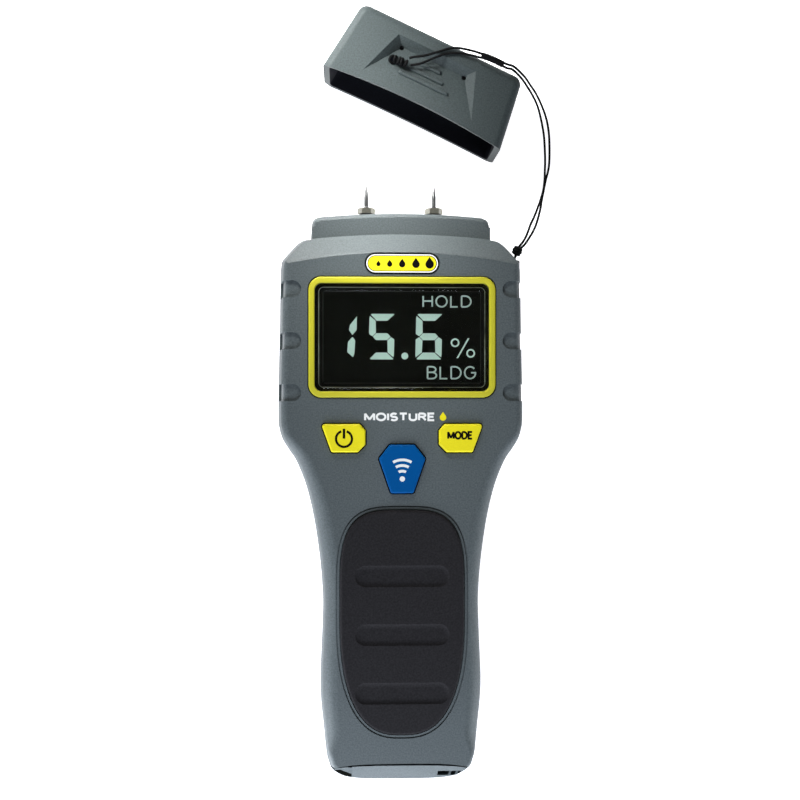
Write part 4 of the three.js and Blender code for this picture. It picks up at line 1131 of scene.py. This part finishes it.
# Mitred bars of a seven-part figure, as outlines from its lower left corner.
def segmentShapes(width, height, thick, gap, wanted):
    w, h, t, g = width, height, thick, gap
    m, c = h / 2, 0.55
    shapes = {
        "a": [(t + g, h - t), (w - t - g, h - t), (w - 0.1, h - 0.12), (w - 0.5, h), (c + g, h),
              (c * 0.6 + g, h - c * 0.5)],
        "f": [(0.0, h - 1.5), (0.12, h - c - g), (t - 0.15, h - t - g + 0.1), (t, m + t / 2 + g),
              (t / 2, m + g * 1.2), (0, m + t * 0.4)],
        "b": [(w, h - 1.5), (w - 0.12, h - c - g), (w - t + 0.15, h - t - g + 0.1), (w - t, m + t / 2 + g),
              (w - t / 2, m + g * 1.2), (w, m + t * 0.4)],
        "g": [(t / 2 + g, m), (t + g * 0.6, m - t / 2), (w - t - g * 0.6, m - t / 2), (w - t / 2 - g, m),
              (w - t - g * 0.6, m + t / 2), (t + g * 0.6, m + t / 2)],
    }
    for lower, upper in (("d", "a"), ("e", "f"), ("c", "b")):
        shapes[lower] = [(x, h - y) for x, y in shapes[upper]]
    return [shapes[k] for k in wanted]


# A seven-part figure whose lower left corner is at (x, y), leaning to the right.
def figure(name, x, y, width, height, lean, wanted):
    shapes = segmentShapes(width, height, legend["thick"], legend["gap"], wanted)
    placed = [[(x + px + lean * py / height, y + py) for px, py in line] for line in shapes]
    bars = [flatShape(name, line, legend["low"], legend["high"]) for line in placed]
    return merged(bars[0], bars[1:])


figures = [
    flatShape("figures", [(-14.44, 58.78), (-14.56, 54.41), (-15.91, 52.8), (-17.01, 54.4), (-16.68, 56.01)],
              legend["low"], legend["high"]),
    flatShape("lowBar", [(-15.91, 52.16), (-15.01, 51.06), (-15.27, 46.82), (-15.72, 45.66),
                         (-17.58, 47.33), (-17.33, 50.55)], legend["low"], legend["high"]),
    figure("five", -10.75, 44.95, 8.15, 14.65, 0.35, "afgcd"),
    figure("six", 4.3, 44.95, 8.45, 14.65, 0.35, "afgcde"),
    flatShape("dot", [tuple(p) for p in circle(1.1, 28, 0.95, 46.07)], legend["low"], legend["high"]),
]
percentRing = [(0, legend["low"]), (0, legend["high"]), (0.5, legend["high"]), (0.5, legend["low"])]
for cx, cy in ((17.15, 50.35), (22.2, 46.95)):
    figures.append(swept("ring", circle(1.42, 28, cx, cy), percentRing))
percentBar = [(17.6, 45.4), (18.15, 45.4), (21.8, 51.8), (21.25, 51.8)]
figures.append(flatShape("bar", percentBar, legend["low"], legend["high"]))
lcdFigures = merged(figures[0], figures[1:])
lcdFigures.name = "lcdFigures"
dressed(lcdFigures, segmentLit, "meter")
for name, words, box, spacing in (("lcdHold", "HOLD", (6.62, 61.67, 22.52, 65.64), 0.27),
                                  ("lcdBldg", "BLDG", (8.04, 38.54, 23.94, 42.87), 0.25)):
    lettering(name, words, box, legend["low"], legend["high"], 0.5, spacing, legendLit, "meter")
print("display made")

# Badge, wording and keys


# A drop of water: round below and pointed above.
def droplet(x, y, size):
    line = [(x, y + 1.55 * size)]
    for i in range(17):
        a = math.radians(150 + 240 * i / 16)
        line.append((x + size * math.cos(a) * 0.9, y + size * math.sin(a) * 0.9))
    return line


def badgeOutline(inset, corner):
    return boxOutline(badge["width"] - inset, badge["height"] - inset, corner, 0, badge["y"], 12)


badgeBase = soft("nameBadge", badgeOutline(0, 3.2), 35.25, 36.15, 0, 0.12, 3)
dressed(badgeBase, blackInk, "meter", ["name_badge"])
badgeLine = swept("badgeLine", badgeOutline(0.7, 2.85), [(0, 36.0), (0, 36.19), (0.36, 36.19), (0.36, 36.0)])
dressed(badgeLine, whiteInk, "meter")
badgeFill = soft("badgeFill", badgeOutline(1.9, 2.25), 36.0, 36.2)
dressed(badgeFill, yellowPlastic, "meter")
drops = [flatShape("drop", droplet(x, badge["y"] - 0.25, size), 36.1, 36.24)
         for x, size in ((-7.6, 0.72), (-4.0, 0.92), (0, 1.12), (4.4, 1.32), (8.8, 1.5))]
badgeDrops = merged(drops[0], drops[1:])
badgeDrops.name = "badgeDrops"
dressed(badgeDrops, blackInk, "meter")

lettering("caseWord", "MOISTURE", (-12.2, 25.1, 10.6, 27.9), 35.98, 36.03, 0.68, 0.24, whiteInk, "meter")
wordDrop = flatShape("wordDrop", droplet(13.1, 26.3, 1.15), 35.98, 36.05)
dressed(wordDrop, yellowPlastic, "meter")

keyLooks = {"power_key": yellowPlastic, "mode_key": yellowPlastic, "link_key": bluePlastic}
for name, material in keyLooks.items():
    shape = keyOutline(name)
    cap = soft(name.split("_")[0] + "Key", shape, keyHeights["flangeBottom"], keyHeights["top"], 0, 0.62, 5)
    flange = soft("flange", moved(shape, 1.1), keyHeights["flangeBottom"], keyHeights["flangeTop"])
    combined(cap, [flange], "UNION")
    lowest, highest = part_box(name)
    mid = (lowest + highest) / 2 / mm
    stem = soft("stem", circle(keyHeights["stem"], 20, mid.x, mid.y), keyHeights["stemEnd"],
                keyHeights["flangeBottom"] + 0.2)
    combined(cap, [stem], "UNION")
    dressed(cap, material, name, [name])

# A black liner in the gap round each key: painted shade.
for name in keys:
    liner = swept(name.split("_")[0] + "KeyGap", keyOutline(name, 0.41),
                  [(0, 33.7), (0, 35.9), (0.34, 35.9), (0.34, 33.7)])
    dressed(liner, paintedShadeAndMaskBlack, "meter")

iconZ = (keyHeights["top"] - 0.05, keyHeights["top"] + 0.03)


# A flat curved stroke about a point, between two angles in degrees.
def arcBand(name, x, y, radius, width, start, end, steps=24):
    outer = [(x + (radius + width / 2) * math.cos(a), y + (radius + width / 2) * math.sin(a))
             for a in (math.radians(start + (end - start) * i / steps) for i in range(steps + 1))]
    inner = [(x + (radius - width / 2) * math.cos(a), y + (radius - width / 2) * math.sin(a))
             for a in (math.radians(end - (end - start) * i / steps) for i in range(steps + 1))]
    return flatShape(name, outer + inner, *iconZ)


powerIcon = arcBand("powerIcon", -18.6, 19.5, 2.55, 0.74, 110, 430)
powerStroke = [(-19.0, 19.6), (-18.2, 19.6), (-18.2, 22.75), (-19.0, 22.75)]
merged(powerIcon, [flatShape("stroke", powerStroke, *iconZ)])
dressed(powerIcon, blackInk, "power_key")
lettering("modeWord", "MODE", (14.36, 19.24, 22.63, 21.98), *iconZ, 0.62, 0.24, blackInk, "mode_key")
linkIcon = flatShape("linkIcon", [tuple(p) for p in circle(0.85, 24, 0, 6.7)], *iconZ)
waves = [arcBand("wave", 0, 6.9, r, 0.85, 60, 120) for r in (2.3, 4.1, 5.9)]
merged(linkIcon, waves)
dressed(linkIcon, whiteInk, "link_key")
print("keys made")

# Grip pad

padBody = soft("gripPad", padOutline(), 35.05, pad["topZ"], 0, 0.85, 6)
scoop = {
    "ys": (-24.4, -43.1, -61.8),
    "width": 30,
    "height": 6.7,
    "corner": 3.2,
    "layers": ((-1.6, 36.45), (-0.8, 36.55), (-0.2, 36.8), (0.1, 37.1), (0.2, 37.6)),  # growth, z
}
scoops = []
for y in scoop["ys"]:
    scoopLine = boxOutline(scoop["width"], scoop["height"], scoop["corner"], 0, y, 8)
    scoops.append(stacked("scoop", [(moved(scoopLine, grow), z) for grow, z in scoop["layers"]]))
combined(padBody, scoops)
dressed(padBody, blackRubber, "meter", ["grip_pad"], angle=40)

anchorProfile = [(0, 74.25), (1.7, 74.25), (1.9, 74.5), (1.9, 78.2), (1.7, 78.45), (0.7, 78.45), (0.7, 75.5),
                 (0, 75.5)]
tieAnchor = turned("tieAnchor", anchorProfile, 28, alongY(tieX, 0, case["parting"]))
dressed(tieAnchor, blackPlastic, "meter", ["lanyard_anchor"])
print("pad made")

# Cap

cap = {
    "place": shift(13.0, 147.7, 0, -25.2),
    "height": 28.0,
    "wall": 1.7,
    "backHalf": 29.35,
    "mouthHalf": 32.1,
    "backY": 2.0,
    "mouthY": -22.2,
    "dip": 1.9,
    "lowDip": 0.5,
    "corner": 3.2,
    "edge": 2.9,
}


# Straight back, flared sides and a hollow arc across the mouth.
def capOutline(inset, mouthShift, dip):
    back, mouth = cap["backHalf"] - inset, cap["mouthHalf"] - inset
    backY, mouthY = cap["backY"] - inset, cap["mouthY"] + mouthShift
    corner = max(0.6, cap["corner"] - inset)
    line = [Vector((mouth * t, mouthY + dip * (1 - t * t))) for t in (-1 + 2 * i / 24 for i in range(25))]
    for i in range(7):
        a = math.pi / 2 * i / 6
        line.append(Vector((back - corner + corner * math.cos(a), backY - corner + corner * math.sin(a))))
    for i in range(7):
        a = math.pi / 2 * (1 + i / 6)
        line.append(Vector((-back + corner + corner * math.cos(a), backY - corner + corner * math.sin(a))))
    return line


# The cap's plan with rounded long edges. The mouth stays square across.
def capSection(name, inset, low, high, edge, reach=0.0):
    layers, heights, steps = [], [], 7
    for s in range(steps + 1):
        a = math.pi / 2 * s / steps
        heights.append((edge * (1 - math.sin(a)), low + edge * (1 - math.cos(a))))
    for s in range(steps + 1):
        a = math.pi / 2 * s / steps
        heights.append((edge * (1 - math.cos(a)), high - edge * (1 - math.sin(a))))
    for rounding, z in heights:
        dip = cap["lowDip"] + (cap["dip"] - cap["lowDip"]) * z / cap["height"]
        layers.append((capOutline(inset + rounding, -reach, dip), z))
    return stacked(name, layers)


recess = {"backX": 13.9, "backY": -2.7, "frontX": 19.6, "frontY": -18.4, "deepX": 11.2, "deepY": -5.5,
          "depth": 2.8}


# The recess on the cap's front, deepest near its back edge.
def recessHull(name, skin):
    high, face, floor = cap["height"] + 3, cap["height"] - skin, cap["height"] - recess["depth"] - skin
    backX, backY, frontX, frontY = recess["backX"], recess["backY"], recess["frontX"], recess["frontY"]
    corners = []
    for x, y, z in ((backX, backY, high), (frontX, frontY, high), (backX, backY, face),
                    (frontX, frontY, face), (recess["deepX"], recess["deepY"], floor)):
        back = skin if y > -10 else -skin
        corners += [(x + skin, y + back, z), (-x - skin, y + back, z)]
    return hull(name, corners)


capShell = capSection("capShell", 0.0, 0.0, cap["height"], cap["edge"])
combined(capShell, [recessHull("recess", 0)])
cavity = capSection("cavity", cap["wall"], cap["wall"], cap["height"] - cap["wall"], 1.6, 4.0)
combined(cavity, [recessHull("ledge", cap["wall"])])
combined(capShell, [cavity])
recessRun = 12.9  # how far its floor rises towards the mouth
slopeAngle = math.degrees(math.atan2(recess["depth"], recessRun))
ribs = []
for y, half in ((-8, 3.8), (-10.9, 6.1), (-13.6, 8.9)):
    z = cap["height"] - recess["depth"] + (recess["deepY"] - y) * recess["depth"] / recessRun
    ribs.append(soft("rib", boxOutline(2 * half, 1.3, 0.62, 0, 0, 5), -0.3, 0.75, 0, 0.5, 4,
                     place=shift(0, y, z) @ Matrix.Rotation(math.radians(-slopeAngle), 4, "X")))
merged(capShell, ribs)
holes = [turned("hole", [(0, 12), (r, 12), (r, 32), (0, 32)], 24, shift(x, y, 0))
         for x, y, r in ((-pinX, -5.8, 0.78), (pinX, -5.8, 0.78), (-12.5, -10.5, 1.3))]
combined(capShell, holes)
dressed(capShell, capPlastic, "cap", ["cap_shell"], angle=28)
inner = cap["wall"] - 0.25


# True for the faces inside the cap's space, which are painted near-black as shade.
def insideCap(middle, normal):
    spread = (middle.y - cap["mouthY"]) / (cap["backY"] - cap["mouthY"])
    half = cap["mouthHalf"] + (cap["backHalf"] - cap["mouthHalf"]) * spread - inner
    if abs(middle.x) > half or middle.y > cap["backY"] - inner:
        return False
    if not inner < middle.z < cap["height"] - inner:
        return False
    onFloor = middle.z > cap["height"] - 4.6 and normal.z > 0.3
    nearRecess = middle.z > cap["height"] - 3.4 and abs(middle.x) < 21
    onRecess = nearRecess and normal.z > -0.3 and middle.y > -19
    return not (onFloor or onRecess) and middle.y > cap["mouthY"] + 2.2


# Painted shade: the faces inside the cap get a near-black colour.
painted(capShell, paintedCapShade, insideCap)
capShell.data.transform(cap["place"])
print("cap made")

# Floor

floorSize = 6000
floorLine = boxOutline(floorSize, floorSize, 10, 0, 30, 2)
floor = stacked("floor", [(floorLine, -3.0), (floorLine, -0.02)])
floorPaper = lit("floorPaper", floorColour, floorGlow)
floor.data.materials.append(floorPaper)
